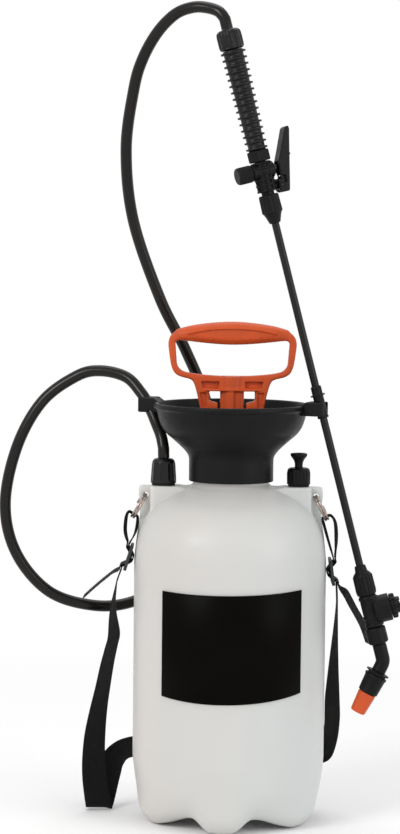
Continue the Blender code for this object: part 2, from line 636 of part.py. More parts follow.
def build_trigger(lance):
    """Trigger valve: body with a cross bore and pivot lug, spring cap, stem, seal, spring, lever and
    pin."""
    frame = empty("trigger_frame", lance, turn=(0, 0, TRIGGER_TURN))
    wall = ((5.2, 244.9), (5.2, 234.6), (8.7, 234.6), (8.7, 206), (6, 206), (6, 196.4))
    body = turned("valve_body", wall, "black_plastic", frame, 14)
    cross = turned(
        "valve_cross", ((8.2, -11), (8.2, 10.5)), None, frame, 14, axis="X", middle=(0, 0, VALVE_S),
        guide=True,
    )
    lug_outline = rounded(
        ((4, 206.3), (10.4, 206.3), (12.4, 204.4), (17.5, 204.6), (17.5, 214), (4, 217)), 2.5, 2,
    )
    lug = prism("pivot_lug", lug_outline, -3, 3, None, frame, guide=True)
    ribs = []
    for k, s in enumerate((207.6, 212.4)):
        ribs.append(turned(f"body_rib_{k}", ((9.6, s), (9.6, s + 1.8)), None, frame, 14, guide=True))
    fuse(body, cross, lug, *ribs)
    bore = turned(
        "stem_bore", ((3.4, -20), (3.4, 20)), None, frame, 12, axis="X", middle=(0, 0, VALVE_S),
        guide=True,
    )
    pivot = (PIVOT[0], 0, PIVOT[1])
    hole = turned("lug_hole", ((2, -12), (2, 12)), None, frame, 12, axis="Y", middle=pivot, guide=True)
    cut(body, bore, hole)
    cap = (
        (6.2, -11.4), (7.4, -11.4), (8.4, -12.6), (8.4, -24.6, 0.6), (7.6, -26), (2, -26), (2, -24),
        (6.2, -24),
    )
    turned(
        "valve_cap", cap, "black_plastic", frame, 20, loop=True, flutes=10, axis="X",
        middle=(0, 0, VALVE_S),
    )
    stem = ((3, 18.3), (3, 4), (2.2, 4), (2.2, 2), (3, 2), (3, -11.6), (5, -11.6), (5, -13.4))
    turned("valve_stem", stem, "nickel_steel", frame, 12, axis="X", middle=(0, 0, VALVE_S))
    ring = ((2.5, 2.3), (3.15, 2.3), (3.15, 3.7), (2.5, 3.7))
    turned("valve_seal", ring, "black_rubber", frame, 12, loop=True, axis="X", middle=(0, 0, VALVE_S))
    spring_line = empty("valve_spring_line", frame, (-23.2, 0, VALVE_S), (0, 90, 0))
    spring = coil(3, 4.4, 8.6, 9)
    print_gap("valve_spring", spring, 9, SPRING_WIRE)
    tube("valve_spring", spring, SPRING_WIRE, "nickel_steel", spring_line, 1)
    swing = empty("trigger_pivot", frame, pivot)
    outline = np.array((
        (10.2, 205.5), (12.5, 202.6), (20, 202.2), (21.2, 207), (25.6, 225), (30, 243), (34, 259),
        (33, 261.8),
        (31, 260.5), (23.5, 243), (15.4, 227), (14.8, 222), (16, 216), (11.4, 214.2),
    )) - PIVOT
    lever = prism("trigger_lever", rounded(outline, 1.6, 2), -6.8, 6.8, "black_plastic", swing)
    slot = np.array(((4, 198), (18.2, 198), (18.2, 219), (4, 219))) - PIVOT
    stem_room = np.array(((4, 217.5), (18.9, 217.5), (18.9, 231.5), (4, 231.5))) - PIVOT
    channel = np.array(((12, 231.4), (24, 231.4), (29.4, 252.5), (29, 256), (20, 256))) - PIVOT
    eye = turned("lever_eye", ((2, -12), (2, 12)), None, swing, 12, axis="Y", guide=True)
    cut(
        lever,
        prism("lever_slot", slot, -3.5, 3.5, None, swing, guide=True),
        prism("lever_stem_room", stem_room, -4.4, 4.4, None, swing, guide=True),
        prism("lever_channel", channel, -4.4, 4.4, None, swing, guide=True),
        eye,
    )
    turned("trigger_pin", ((1.6, -7.6), (1.6, 7.6)), "nickel_steel", frame, 12, axis="Y", middle=pivot)


def build_lance(lance):
    """Lance: two fluted nuts with their seals, the straight tube and the clip sleeve that sits in the
    funnel's fork."""
    upper = (
        (6.5, 203.3), (8.4, 203.3), (9.4, 202.3, 0.7), (9.8, 187, 0.7), (8.6, 185.4), (7.6, 183.5),
        (5, 176.2), (4, 176),
        (4, 189.8), (6.5, 189.8),
    )
    turned("lance_nut_upper", upper, "black_plastic", lance, 20, loop=True, flutes=10)
    washer = ((3.9, 190.2), (6.1, 190.2), (6.1, 192.4), (3.9, 192.4))
    turned("lance_seal_upper", washer, "black_rubber", lance, 12, loop=True)
    pipe = ((LANCE_R, 196), (LANCE_R, -172), (LANCE_BORE, -172), (LANCE_BORE, 196))
    turned("lance_tube", pipe, "black_plastic", lance, 12, loop=True)
    sleeve = (
        (3.9, 19), (4.6, 19), (5, 18), (5, 11.3), (6.9, 11), (6.9, 9.8), (5, 9.5), (5, -9.6), (5.3, -10),
        (5.3, -11.2), (5, -11.6), (3.9, -11.6),
    )
    turned("lance_clip", sleeve, "black_plastic", lance, 12, loop=True)
    lower = (
        (4, -155), (5.2, -155), (5.9, -160.8), (7.6, -162.4), (9.4, -165, 0.7), (9.6, -180, 0.7),
        (8.9, -183),
        (6.5, -183.2), (6.5, -168), (4, -168),
    )
    turned("lance_nut_lower", lower, "black_plastic", lance, 20, loop=True, flutes=10)
    washer = ((3.9, -170.6), (6.1, -170.6), (6.1, -168.4), (3.9, -168.4))
    turned("lance_seal_lower", washer, "black_rubber", lance, 12, loop=True)


def build_regulator(lance):
    """Flow regulator: body with a wide drum across it, turning plug, star knob and the swivel collar
    below."""
    line = empty("regulator_line", lance, (0, 0, REGULATOR_S))
    top, bottom = -183.8 - REGULATOR_S, -214.2 - REGULATOR_S
    wall = (
        (6, top + 10.8), (6, top), (7.6, top), (8.2, top - 0.8), (8.2, bottom + 0.8), (7.6, bottom),
        (5.5, bottom),
        (5.5, bottom - 7),
    )
    body = turned("regulator_body", wall, "black_plastic", line, 16)
    drum = turned("regulator_drum", ((13, 3.5), (13, 18.6)), None, line, 20, axis="X", guide=True)
    bore = turned("regulator_bore", ((5.3, -6), (5.3, 19.6)), None, line, 14, axis="X", guide=True)
    fuse(body, drum)
    cut(body, bore)
    plug = ((4.9, -5), (4.9, 18.2), (3, 18.2), (3, 20.6))
    turned("regulator_plug", plug, "grey_plastic", line, 12, axis="X")
    knob = (
        (3.4, 19.1), (11.2, 19.1), (11.8, 19.9, 0.6), (11.8, 23.2, 0.6), (11, 24.2), (8, 24.2),
        (7.4, 28.4), (2, 28.4),
        (2, 21.2), (3.4, 21.2),
    )
    dial = turned("regulator_knob", knob, "black_plastic", line, 20, loop=True, flutes=10, axis="X")
    for k in range(3):
        notch_line = empty(f"notch_line_{k}", line, turn=(60 * k, 0, 0))
        cut(dial, box(f"knob_notch_{k}", (25, -14, -1.6), (31, 14, 1.6), None, notch_line, True))
    collar = ((6.2, -214.8), (8.6, -214.8), (9.4, -215.8), (9.6, -229.1), (8.8, -230.5), (6.2, -230.5))
    turned("swivel_collar", collar, "black_plastic", lance, 18, loop=True)


def build_nozzle(lance):
    """Bent spray tube with its flange, then seal, black nozzle cap, swirl core and the orange tip that
    turns."""
    bend = math.radians(ELBOW_TURN)
    radius = 16.0
    setback = radius * math.tan(bend / 2)
    ends = 10
    frames = [((0, ELBOW_S + 27), 0.0)]
    for share in np.linspace(0, 1, 6):
        turn = bend * share
        start = (-radius, ELBOW_S + setback)
        frames.append(((start[0] + radius * math.cos(turn), start[1] - radius * math.sin(turn)), turn))
    reach = 40.0
    frames.append(((-reach * math.sin(bend), ELBOW_S - reach * math.cos(bend)), bend))
    rings = []
    for (x, s), turn in frames:
        flat = circle(ELBOW_R, 0, ends)
        across = flat[:, 0]
        rings.append(
            np.stack((x + across * math.cos(turn), flat[:, 1], s - across * math.sin(turn)), axis=1),
        )
    elbow = loft("spray_elbow", rings, "black_plastic", lance)
    line = empty("nozzle_line", lance, (0, 0, ELBOW_S), (0, ELBOW_TURN, 0))
    rim = ((10.8, -11), (11.4, -11.3), (11.4, -12.3), (10.8, -12.6))
    flange = turned("elbow_flange", rim, None, line, 18, guide=True)
    fuse(elbow, flange)
    turned(
        "nozzle_seal", ((6.2, -14.2), (9, -14.2), (9, -13), (6.2, -13)), "black_rubber", line, 14,
        loop=True,
    )
    cap = (
        (6.3, -14.6), (10.5, -14.6), (10.9, -15.2), (10.9, -16.8), (10.2, -17.4, 0.3), (9.5, -32.2, 0.3),
        (8.8, -33),
        (6.3, -33),
    )
    turned("nozzle_cap", cap, "black_plastic", line, 20, loop=True, flutes=10)
    core = ((5.4, -41), (5.4, -46), (2, -47))
    turned("swirl_core", core, "white_plastic", line, 12)
    tip = (
        (6.3, -33.4), (8.2, -33.4), (8.6, -34.4), (8.5, -36, 0.2), (7.3, -52.4, 0.2), (6.6, -53.8),
        (1, -53.8),
        (1, -51), (6.3, -48.6),
    )
    turned("nozzle_tip", tip, "orange_plastic", line, 16, loop=True, flutes=8)


def build_rings(root):
    """Split rings: two close turns of wire, hung in the ears' holes and leaning out."""
    for name, side, lean in (("ring_left", -1, LEFT_RING_LEAN), ("ring_right", 1, RIGHT_RING_LEAN)):
        out = Vector((lean[0], 0, lean[1])).normalized()
        centre = Vector((RING_HOLE[0] * side, 0, RING_HOLE[1])) + out * (RING_R - 0.3)
        across = Vector((0, 1, 0))
        pole = out.cross(across)
        turn = Matrix((out, across, pole)).transposed()
        line = empty(f"{name}_line", root, centre)
        line.rotation_euler = turn.to_euler()
        wire = coil(2, RING_R, 2 * RING_PITCH, 18)[:, [1, 0, 2]] * (-1, 1, 1)
        wire[:, 2] -= RING_PITCH
        print_gap(name, wire, 18, RING_WIRE)
        tube(name, wire, RING_WIRE, "nickel_steel", line, 1)


def build_buckles(root):
    """Ladder buckles: a flat frame with a middle bar between two slots."""
    for name, ((x, z), up) in (("buckle_left", LEFT_BUCKLE), ("buckle_right", RIGHT_BUCKLE)):
        line = empty(f"{name}_line", root, (x, 0, z), (0, math.degrees(math.atan2(up[0], up[1])), 0))
        outline = rounded(((-1.5, -12), (1.5, -12), (1.5, 12), (-1.5, 12)), 0.8, 2)
        frame = prism(name, outline, -17, 17, "grey_plastic", line)
        for k, (low, high) in enumerate(((-10, -1.6), (1.6, 10))):
            cut(frame, box(f"{name}_slot_{k}", (-4, -13.6, low), (4, 13.6, high), None, line, True))


def weave(buckle, pairs, width):
    """Strap points through a buckle, from pairs along and out from its middle."""
    (x, z), up = buckle
    side = 1 if x > 0 else -1
    out = (side * up[1], -side * up[0])
    return [(x + t * up[0] + n * out[0], 0, z + t * up[1] + n * out[1], *width, 1) for t, n in pairs]


def build_strap(root):
    """Shoulder strap: one ribbon of webbing from tail to tail, threaded through both buckles and both
    rings."""
    left, right = (0, 1, 0), (0, -1, 0)
    route = list(LEFT_TAIL) + weave(LEFT_BUCKLE, TAIL_WEAVE, left) + list(LEFT_LOOP)
    route += weave(LEFT_BUCKLE, DROP_WEAVE[::-1], left) + list(STRAP_DROP)
    route += weave(RIGHT_BUCKLE, DROP_WEAVE, right) + list(RIGHT_LOOP)
    route += weave(RIGHT_BUCKLE, TAIL_WEAVE[::-1], right) + list(RIGHT_TAIL)
    rows = np.array(route)
    middle, across, share = rows[:, :3], rows[:, 3:6], rows[:, 6:]
    ahead = np.gradient(middle, axis=0)
    ahead /= np.linalg.norm(ahead, axis=1)[:, None]
    across = across - ahead * np.sum(across * ahead, axis=1)[:, None]
    across /= np.linalg.norm(across, axis=1)[:, None]
    up = np.cross(across, ahead)
    half = 0.5 * WEB_WIDTH * share * across
    lift = 0.5 * WEB_THICK * up
    rings = np.stack(
        (middle - half - lift, middle + half - lift, middle + half + lift, middle - half + lift), axis=1,
    )
    loft("shoulder_strap", rings, "webbing", root)
    print("strap length mm:", round(float(np.linalg.norm(np.diff(middle, axis=0), axis=1).sum()), 1))


def main():
    for old in list(bpy.data.objects):
        bpy.data.objects.remove(old, do_unlink=True)
    root = empty("sprayer", None, (AXIS_X, AXIS_Y, 0))
    build_tank(root)
    build_label(root)
    build_funnel(root)
    build_pump(root)
    build_handle(root)
    build_outlet(root)
    build_relief(root)
    build_hose(root)
    lance = empty("lance_line", root, CLIP_POINT, (0, -LANCE_LEAN, 0))
    build_grip(lance)
    build_trigger(lance)
    build_lance(lance)
    build_regulator(lance)
    build_nozzle(lance)
    build_rings(root)
    build_buckles(root)
    build_strap(root)


main()
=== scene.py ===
"""Looks of a five litre compression sprayer: fine surfaces, finishes, stage and camera over the solids.

Shapes are given in millimetres in the tank's own frame: the tank stands on z = 0 with its axis on
x = y = 0 and the viewer at -Y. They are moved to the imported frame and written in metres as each
piece is made.
"""

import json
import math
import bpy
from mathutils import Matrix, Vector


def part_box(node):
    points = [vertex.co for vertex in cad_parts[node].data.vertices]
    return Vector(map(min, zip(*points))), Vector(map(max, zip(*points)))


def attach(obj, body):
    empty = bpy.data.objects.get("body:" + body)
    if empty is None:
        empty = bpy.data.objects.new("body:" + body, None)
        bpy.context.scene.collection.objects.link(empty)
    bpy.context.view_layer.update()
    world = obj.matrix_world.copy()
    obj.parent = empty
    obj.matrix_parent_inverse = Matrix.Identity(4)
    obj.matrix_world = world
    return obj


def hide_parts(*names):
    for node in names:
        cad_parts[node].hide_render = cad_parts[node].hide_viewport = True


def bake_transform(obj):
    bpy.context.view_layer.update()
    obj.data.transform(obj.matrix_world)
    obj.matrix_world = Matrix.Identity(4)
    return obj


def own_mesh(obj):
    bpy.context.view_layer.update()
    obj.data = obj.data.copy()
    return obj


bl_info = {
    "name": "Compression sprayer looks",
    "version": (1, 0, 0),
    "blender": (4, 5, 0),
    "location": "View3D > Sidebar > Sprayer",
    "description": "Builds the surfaces, finishes, stage and camera of a compression sprayer",
    "category": "Add Mesh",
}

import bmesh
import bpy
import numpy as np
from mathutils import Matrix

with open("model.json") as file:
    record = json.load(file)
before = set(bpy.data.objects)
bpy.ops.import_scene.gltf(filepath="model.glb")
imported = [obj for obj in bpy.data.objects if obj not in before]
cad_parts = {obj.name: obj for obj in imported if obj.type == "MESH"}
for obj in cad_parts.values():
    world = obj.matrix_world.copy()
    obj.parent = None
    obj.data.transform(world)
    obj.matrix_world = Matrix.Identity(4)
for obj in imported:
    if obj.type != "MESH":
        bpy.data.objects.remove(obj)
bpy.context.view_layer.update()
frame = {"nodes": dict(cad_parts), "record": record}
NODES = frame["nodes"]

MM = 0.001
ROD_LOW, ROD_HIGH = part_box("pump_rod")
AXIS = np.array(((ROD_LOW.x + ROD_HIGH.x) / 2, (ROD_LOW.y + ROD_HIGH.y) / 2, 0.0)) / MM

# Tank
TANK_R = 91.0
NECK_R = 36.0
NECK_TOP = 344.0
BOSS_X = 64.0
BOSS_TOP = 319.0
PETAL_TURN = -95.0
SHOULDER_ROWS = 64

# Angles in degrees above which an edge is drawn sharp
TANK_SHARP = 45
LABEL_SHARP = 50
GRIP_SHARP = 55
MOULDED_SHARP = 60

# Label: middle and half of its angle in degrees, gap behind it and thickness
LABEL_TURN = 1.25
LABEL_HALF = 44.75
LABEL_GAP = 0.4
LABEL_THICK = 0.5

# Funnel arms
ARM_TURN = -18.7
ARM_LOW = 388.0
ARM_HIGH = 401.3
RIM_TOP = 397.4
LANCE_SEAT_R = 5.6
HOSE_EYE_R = 6.3

# Locking lugs on the pump cap
LUG_LOW = (15.5, -7, 380.2)
LUG_HIGH = (22.4, 7, 385.4)
LUG_TURNS = (52, 232)

# Lance: its clip in the fork, its lean, and places along it
CLIP_POINT = (82.6, -28.0, 397.6)
LANCE_LEAN = 14.6
TRIGGER_TURN = 20.0
VALVE_S = 226.0
PIVOT = (13.6, 209.4)
REGULATOR_S = -199.2
ELBOW_S = -248.6
ELBOW_TURN = 41.0
ELBOW_BEND_R = 11.0
ELBOW_RISE = 27
ELBOW_REACH = 40
FIN_COUNT = 16
FIN_PITCH = 6.08

# Route of the hose from the outlet nut, through the hook, round behind the tank and up to the grip
HOSE_ROUTE = (
    (-64, 0, 345), (-64.2, 0.4, 354), (-66.6, 5, 365), (-71.2, 12.6, 376), (-75.3, 17.8, 385.5),
    (-79.6, 22.2, 394), (-86, 27.5, 404), (-101, 36, 419), (-126, 42, 424.5), (-149, 45, 419),
    (-182, 47, 394), (-206, 47, 350), (-217, 48, 294), (-206, 52, 246), (-174, 57, 208.5),
    (-130, 64, 194.6), (-93, 76, 197.6), (-68, 92, 214), (-39, 103, 250), (-19, 105, 295), (-16, 101, 335),
    (-24, 92, 392), (-45, 80, 444), (-70, 67, 494), (-96, 50, 569), (-103, 36, 636), (-96, 22, 692),
    (-88, 14, 720), (-74, 5, 745), (-57, -4, 762), (-40, -13, 768), (-26, -20, 767), (-16, -26, 763),
    (-10.9, -28, 756.6), (-8.45, -28, 747.14),
)
HOOK_POINT = 5
HOSE_STEP = 4.0
HOSE_SIDES = 32

# Rings, springs and buckles
RING_HOLE = (80.6, 310.0)
RING_HOLE_R = 2.7
RING_R = 12.6
RING_PITCH = 2.3
RING_LEANS = {"ring_left": (-1, -0.517, -0.856), "ring_right": (1, 0.42, -0.907)}
SPRING_WIRE_R = 0.6
SPRING_TURNS = 3
LEFT_BUCKLE = ((-96.3, 250.5), (0.30, 0.954))
RIGHT_BUCKLE = ((96.4, 238.5), (-0.135, 0.99))

# Strap tails: places of the middle line, with one direction of width for each tail
LEFT_WIDE = (0, 1, 0)
RIGHT_WIDE = (0, -1, 0)
RIGHT_TAIL_WIDE = (0.24, -0.96, 0.12)
LEFT_TAIL = (
    (-138.9, 8, 211), (-131.4, 7.4, 218), (-124.8, 6.6, 224), (-118, 5, 229.9), (-111.3, 2.5, 235.4),
)
RIGHT_TAIL = (
    (107.5, 0.5, 221.5), (112.5, 1, 213.5), (117, 1.5, 205), (122, 2, 196.5), (127.2, 2.5, 187),
    (131, 3, 177.5), (134, 4, 168.6),
)

# Strap loops through the rings: x, z, lean of the width in x, and the share of the full width
LEFT_LOOP = (
    (-98.8, 270, 0.06, 0.85), (-99.8, 276, 0.11, 0.7), (-99.4, 285, 0.14, 0.5), (-98.3, 291, 0.1, 0.36),
    (-96, 293.6, 0, 0.36), (-92.1, 291.3, 0, 0.36), (-88.5, 289, 0, 0.36), (-88.2, 284.5, 0.08, 0.36),
    (-88.9, 279, 0.1, 0.6), (-90.4, 273, 0.08, 0.8), (-93.2, 267.5, 0.04, 0.95),
)
RIGHT_LOOP = (
    (95.6, 259, 0.04, 0.95), (93.4, 266.5, 0.06, 0.8), (91.2, 274, 0.08, 0.6), (89.2, 281, 0.08, 0.45),
    (87.8, 286, 0.06, 0.36), (87.1, 288.8, 0, 0.36), (89.9, 290.05, 0, 0.36), (93.9, 291.9, 0, 0.36),
    (97.2, 289.6, 0.05, 0.36), (99.4, 284.5, 0.12, 0.4), (100.3, 277, 0.12, 0.6), (100.4, 268, 0.08, 0.8),
    (100, 259, 0, 0.95),
)

# Strap from the left buckle down, round behind the tank and up to the right buckle: place, then width
STRAP_DROP = (
    (-105.8, 2, 231.5, 0, 1, 0), (-108, 4, 224, 0, 1, 0), (-110, 7.5, 213, 0.08, 1, 0),
    (-111.2, 10.5, 203, 0.16, 1, 0), (-111.4, 13, 190, 0.27, 0.97, 0), (-110.5, 17.4, 172, 0.43, 0.9, 0),
    (-113, 20.6, 160, 0.46, 0.89, 0), (-116.6, 25, 144, 0.5, 0.87, 0), (-120.8, 29.4, 121, 0.56, 0.83, 0),
    (-125, 33, 98, 0.66, 0.75, 0), (-128.2, 35, 74, 0.78, 0.62, 0), (-129.3, 35, 52, 0.86, 0.52, 0),
    (-128.4, 34, 34, 0.93, 0.36, 0), (-126.4, 33, 18, 0.95, 0.3, 0), (-124.4, 33.6, 6.4, 0.97, 0.15, 0),
    (-124.2, 35.6, 2.9, 0.99, 0.05, 0), (-124, 38, 2.2, 0.99, 0.02, 0), (-123.4, 40.4, 3.4, 0.99, 0.05, 0),
    (-121.2, 43, 9.8, 0.97, 0.2, 0), (-118, 46.5, 22, 0.94, 0.34, -0.03), (-115, 50, 34, 0.9, 0.35, -0.2),
    (-111.6, 55, 44, 0.72, 0.3, -0.6), (-105.5, 60, 50.6, 0.42, 0.36, -0.83),
    (-98, 65.5, 54.3, 0.2, 0.5, -0.84),
    (-88, 71.6, 55.8, 0.08, 0.5, -0.86), (-66, 82.5, 58.5, 0, 0.2, -0.97), (-46, 88, 61, 0, 0, -1),
    (-24, 94, 63, 0, 0, -1), (0, 97, 64, 0, 0, -1), (24, 94, 63, 0, 0, -1), (46, 86, 61, 0, 0, -1),
    (68, 72.5, 58, 0, 0, -1), (85, 62, 55, 0.1, -0.1, -1), (95, 54, 59, 0.3, -0.45, -0.8),
    (99.5, 45, 74, 0.45, -0.75, -0.4), (100.4, 34, 94, 0.5, -0.8, -0.15), (100.2, 24, 114, 0.46, -0.85, 0),
    (100.6, 12, 150, 0.28, -0.95, 0), (101.6, 3, 188, 0.08, -1, 0), (102, 0.5, 206, 0, -1, 0),
    (101.8, 0, 216, 0, -1, 0),
)

# Weave of the two strap layers through a buckle: along the buckle, then out from it
DROP_WEAVE = (
    (-13, 3.1), (-9.7, 3.1), (-6.1, -0.6), (-2.5, -3.9), (0, -4.2), (2.5, -3.9), (6.1, -0.6), (9.7, 3.1),
    (13, 3.1),
)
TAIL_WEAVE = (
    (-13, 5), (-9.3, 5), (-5.8, 1.4), (-2.2, -2.1), (0, -2.4), (2.2, -2.1), (5.8, 1.4), (9.3, 5), (13, 5),
)
PLEAT = 1.1
STRAP_COLUMNS = 17

# Stage: the camera from the tank's foot in metres, then each lamp's place and size
CAMERA_SPOT = (-0.03003, -2.7707, 0.58362)
LAMP_AIM = (0, 0, 0.36)
LAMPS = {
    "key": ((-1.5, -1.7, 1.5), 0.9),
    "fill": ((1.8, -1.3, 0.9), 1.1),
    "top": ((0.0, 0.5, 2.2), 1.4),
}
LAMP_POWER = {"min": 0.0, "max": 500.0, "unit": "POWER"}
FLOOR_LEVEL = -0.0006
FLOOR_SIDES = 96


# Places and directions


def turn_y(degrees):
    """Rotation matrix about Y by the right-hand rule."""
    c, s = math.cos(math.radians(degrees)), math.sin(math.radians(degrees))
    return np.array(((c, 0, s), (0, 1, 0), (-s, 0, c)))


def turn_z(degrees):
    """Rotation matrix about Z by the right-hand rule."""
    c, s = math.cos(math.radians(degrees)), math.sin(math.radians(degrees))
    return np.array(((c, -s, 0), (s, c, 0), (0, 0, 1)))


def on(place, points):
    """Points of a local place, a pair of origin and rotation, in the tank's frame."""
    return np.asarray(points, float) @ place[1].T + place[0]


def upright(x, z=0.0):
    """A place that isn't turned, on the plane y = 0."""
    return np.array((x, 0, z)), np.eye(3)


ALONG_X = np.array(((0, 0, 1), (0, -1, 0), (1, 0, 0)))
ALONG_Y = np.array(((1, 0, 0), (0, 0, -1), (0, 1, 0)))
TANK = upright(0.0)
LANCE = (np.array(CLIP_POINT), turn_y(-LANCE_LEAN))
TRIGGER = (LANCE[0], LANCE[1] @ turn_z(TRIGGER_TURN))
VALVE = (on(TRIGGER, (0, 0, VALVE_S)), TRIGGER[1])
REGULATOR = (on(LANCE, (0, 0, REGULATOR_S)), LANCE[1])
NOZZLE = (on(LANCE, (0, 0, ELBOW_S)), LANCE[1] @ turn_y(ELBOW_TURN))


def across(place, axis):
    """The same place with its local Z laid along X or Y."""
    return (place[0], place[1] @ (ALONG_X if axis == "X" else ALONG_Y))


# Surfaces


def smooth_step(value):
    """0 below 0, 1 above 1 and three t squared less two t cubed between them."""
    t = np.clip(value, 0, 1)
    return t * t * (3 - 2 * t)


def unit(vectors):
    """Rows of vectors, each divided by its length."""
    return vectors / np.linalg.norm(vectors, axis=1)[:, None]


def run_along(points):
    """Distance along a polyline at each of its points."""
    return np.concatenate(([0], np.cumsum(np.linalg.norm(np.diff(points, axis=0), axis=1))))


def resample(points, count):
    """A polyline read again at equal steps along its length."""
    run = run_along(points)
    stations = np.linspace(0, run[-1], count)
    return np.stack([np.interp(stations, run, column) for column in points.T], axis=1)


def soften(corners, radius, closed=False, steps=4):
    """Round a polyline: each corner becomes a quadratic curve, cut by its radius or almost half a side."""
    p = np.asarray(corners, float)
    back, ahead = np.roll(p, 1, 0) - p, np.roll(p, -1, 0) - p
    long_back = np.maximum(np.linalg.norm(back, axis=1), 1e-9)
    long_ahead = np.maximum(np.linalg.norm(ahead, axis=1), 1e-9)
    cut = np.minimum(radius, 0.48 * np.minimum(long_back, long_ahead))
    start, end = p + back * (cut / long_back)[:, None], p + ahead * (cut / long_ahead)[:, None]
    t = np.linspace(0, 1, steps + 1)[None, :, None]
    curve = start[:, None] * (1 - t) ** 2 + p[:, None] * 2 * t * (1 - t) + end[:, None] * t * t
    if closed:
        return curve.reshape(-1, p.shape[1])
    return np.vstack((p[:1], curve[1:-1].reshape(-1, p.shape[1]), p[-1:]))


def smooth_path(points, steps):
    """A Catmull-Rom curve through rows of numbers, with a fixed count of steps for each span."""
    rows = np.asarray(points, float)
    ends = np.vstack((2 * rows[0] - rows[1], rows, 2 * rows[-1] - rows[-2]))
    a, b, c, d = (ends[k:len(ends) - 3 + k, None] for k in range(4))
    t = np.linspace(0, 1, steps, endpoint=False)[None, :, None]
    spans = 2 * b + (c - a) * t + (2 * a - 5 * b + 4 * c - d) * t**2 + (3 * b - a - 3 * c + d) * t**3
    return np.vstack((0.5 * spans.reshape(-1, rows.shape[1]), rows[-1:]))


def even_path(points, step):
    """The smooth curve through the points, read again at equal steps along its length."""
    fine = smooth_path(points, 24)
    return resample(fine, int(round(run_along(fine)[-1] / step)) + 1)


def skin(points, rows_closed=False, columns_closed=True, capped=False):
    """Patch of quads between neighbours in a grid of points, closed either way or capped at both ends."""
    rows, columns = points.shape[:2]
    i = np.arange(rows if rows_closed else rows - 1)[:, None]
    j = np.arange(columns if columns_closed else columns - 1)[None]
    right, below = (j + 1) % columns, (i + 1) % rows
    corners = (i * columns + j, i * columns + right, below * columns + right, below * columns + j)
    quads = np.stack(np.broadcast_arrays(*corners), axis=-1).reshape(-1, 4)
    caps = []
    if capped:
        caps = [np.arange(columns)[::-1], np.arange((rows - 1) * columns, rows * columns)]
    return points.reshape(-1, 3), quads, caps


def round_axis(radius, height, angle):
    """Points at a radius, height and angle round Z, from arrays that fit together."""
    return np.stack(np.broadcast_arrays(radius * np.cos(angle), radius * np.sin(angle), height), axis=-1)


def turned(profile, place=TANK, sides=72, closed=True, carve=None):
    """Patch of revolution: each profile point (radius, height) goes round local Z in equal steps of angle.

    carve takes radius, height and angle as arrays and gives back a new radius and height, for flutes
    and notches.
    """
    flat = np.asarray(profile, float)
    angle = np.linspace(0, 2 * math.pi, sides, endpoint=False)[None]
    radius, height = (flat[:, k][:, None] + 0 * angle for k in (0, 1))
    if carve:
        radius, height = carve(radius, height, angle)
    return skin(on(place, round_axis(radius, height, angle)), rows_closed=closed, capped=not closed)


def flutes(count, depth, low, high, sharpness=0.8, fade=1.0):
    """Carving of grooves: radius less depth times a raised cosine of the angle, faded past low and high."""
    def carve(radius, height, angle):
        wave = (0.5 - 0.5 * np.cos(count * angle)) ** sharpness
        mask = smooth_step((height - low) / fade) * smooth_step((high - height) / fade)
        outside = smooth_step((radius - 0.75 * radius.max()) / (0.05 * radius.max()))
        return radius - depth * wave * mask * outside, height
    return carve


def swept(path, radius, sides, reference):
    """Patch of a tube: circles square to the path, laid out from its cross product with a reference."""
    ahead = unit(np.gradient(path, axis=0))
    side = unit(np.cross(ahead, reference))
    up = np.cross(side, ahead)
    angle = np.linspace(0, 2 * math.pi, sides, endpoint=False)
    ring = np.cos(angle)[None, :, None] * side[:, None] + np.sin(angle)[None, :, None] * up[:, None]
    reach = np.broadcast_to(np.asarray(radius, float), (len(path),))[:, None, None]
    return skin(path[:, None] + reach * ring, capped=True)


# Fields: distance from a surface in millimetres, below zero inside


def block_field(x, y, z, low, high, edge):
    """Distance from a box with rounded edges."""
    q = [np.abs(v - (a + b) / 2) - (b - a) / 2 + edge for v, a, b in zip((x, y, z), low, high)]
    outside = np.sqrt(sum(np.maximum(v, 0) ** 2 for v in q))
    return outside + np.minimum(np.maximum(np.maximum(q[0], q[1]), q[2]), 0) - edge


def rounded(wide, tall, edge):
    """Distance from a form that is bounded by two square faces, with its edge rounded."""
    wide, tall = wide + edge, tall + edge
    outside = np.sqrt(np.maximum(wide, 0) ** 2 + np.maximum(tall, 0) ** 2)
    return outside + np.minimum(np.maximum(wide, tall), 0) - edge


def rod_field(a, b, along, radius, low, high, edge):
    """Distance from a rounded cylinder: a and b run across its axis, along runs with it."""
    wide = np.sqrt(a * a + b * b) - radius
    return rounded(wide, np.abs(along - (low + high) / 2) - (high - low) / 2, edge)


def outline_field(u, v, corners):
    """Signed distance from a polygon: the least to its sides, negative where a ray crosses an odd count."""
    p = np.asarray(corners, float)
    q = np.roll(p, -1, 0)
    u, v = np.broadcast_arrays(u, v)
    nearest = np.full(u.shape, 1e9)
    inside = np.zeros(u.shape, bool)
    for (ax, ay), (bx, by) in zip(p, q):
        ex, ey = bx - ax, by - ay
        wx, wy = u - ax, v - ay
        t = np.clip((wx * ex + wy * ey) / max(ex * ex + ey * ey, 1e-12), 0, 1)
        nearest = np.minimum(nearest, (wx - ex * t) ** 2 + (wy - ey * t) ** 2)
        if ay != by:
            inside ^= ((ay > v) != (by > v)) & (u < ex * (v - ay) / ey + ax)
    return np.sqrt(nearest) * np.where(inside, -1.0, 1.0)


def slab_field(flat, depth, half, edge):
    """Distance from an outline made thick: flat is the outline's field, depth runs across it to half."""
    return rounded(flat, np.abs(depth) - half, edge)


def melt(a, b, width):
    """Union of two fields with a fillet: their minimum, less a quarter of width where they meet."""
    share = np.maximum(width - np.abs(a - b), 0) / width
    return np.minimum(a, b) - share * share * width / 4


def carve_out(a, b, width):
    """Field a with b cut away, leaving a softened edge."""
    return -melt(-a, b, width)


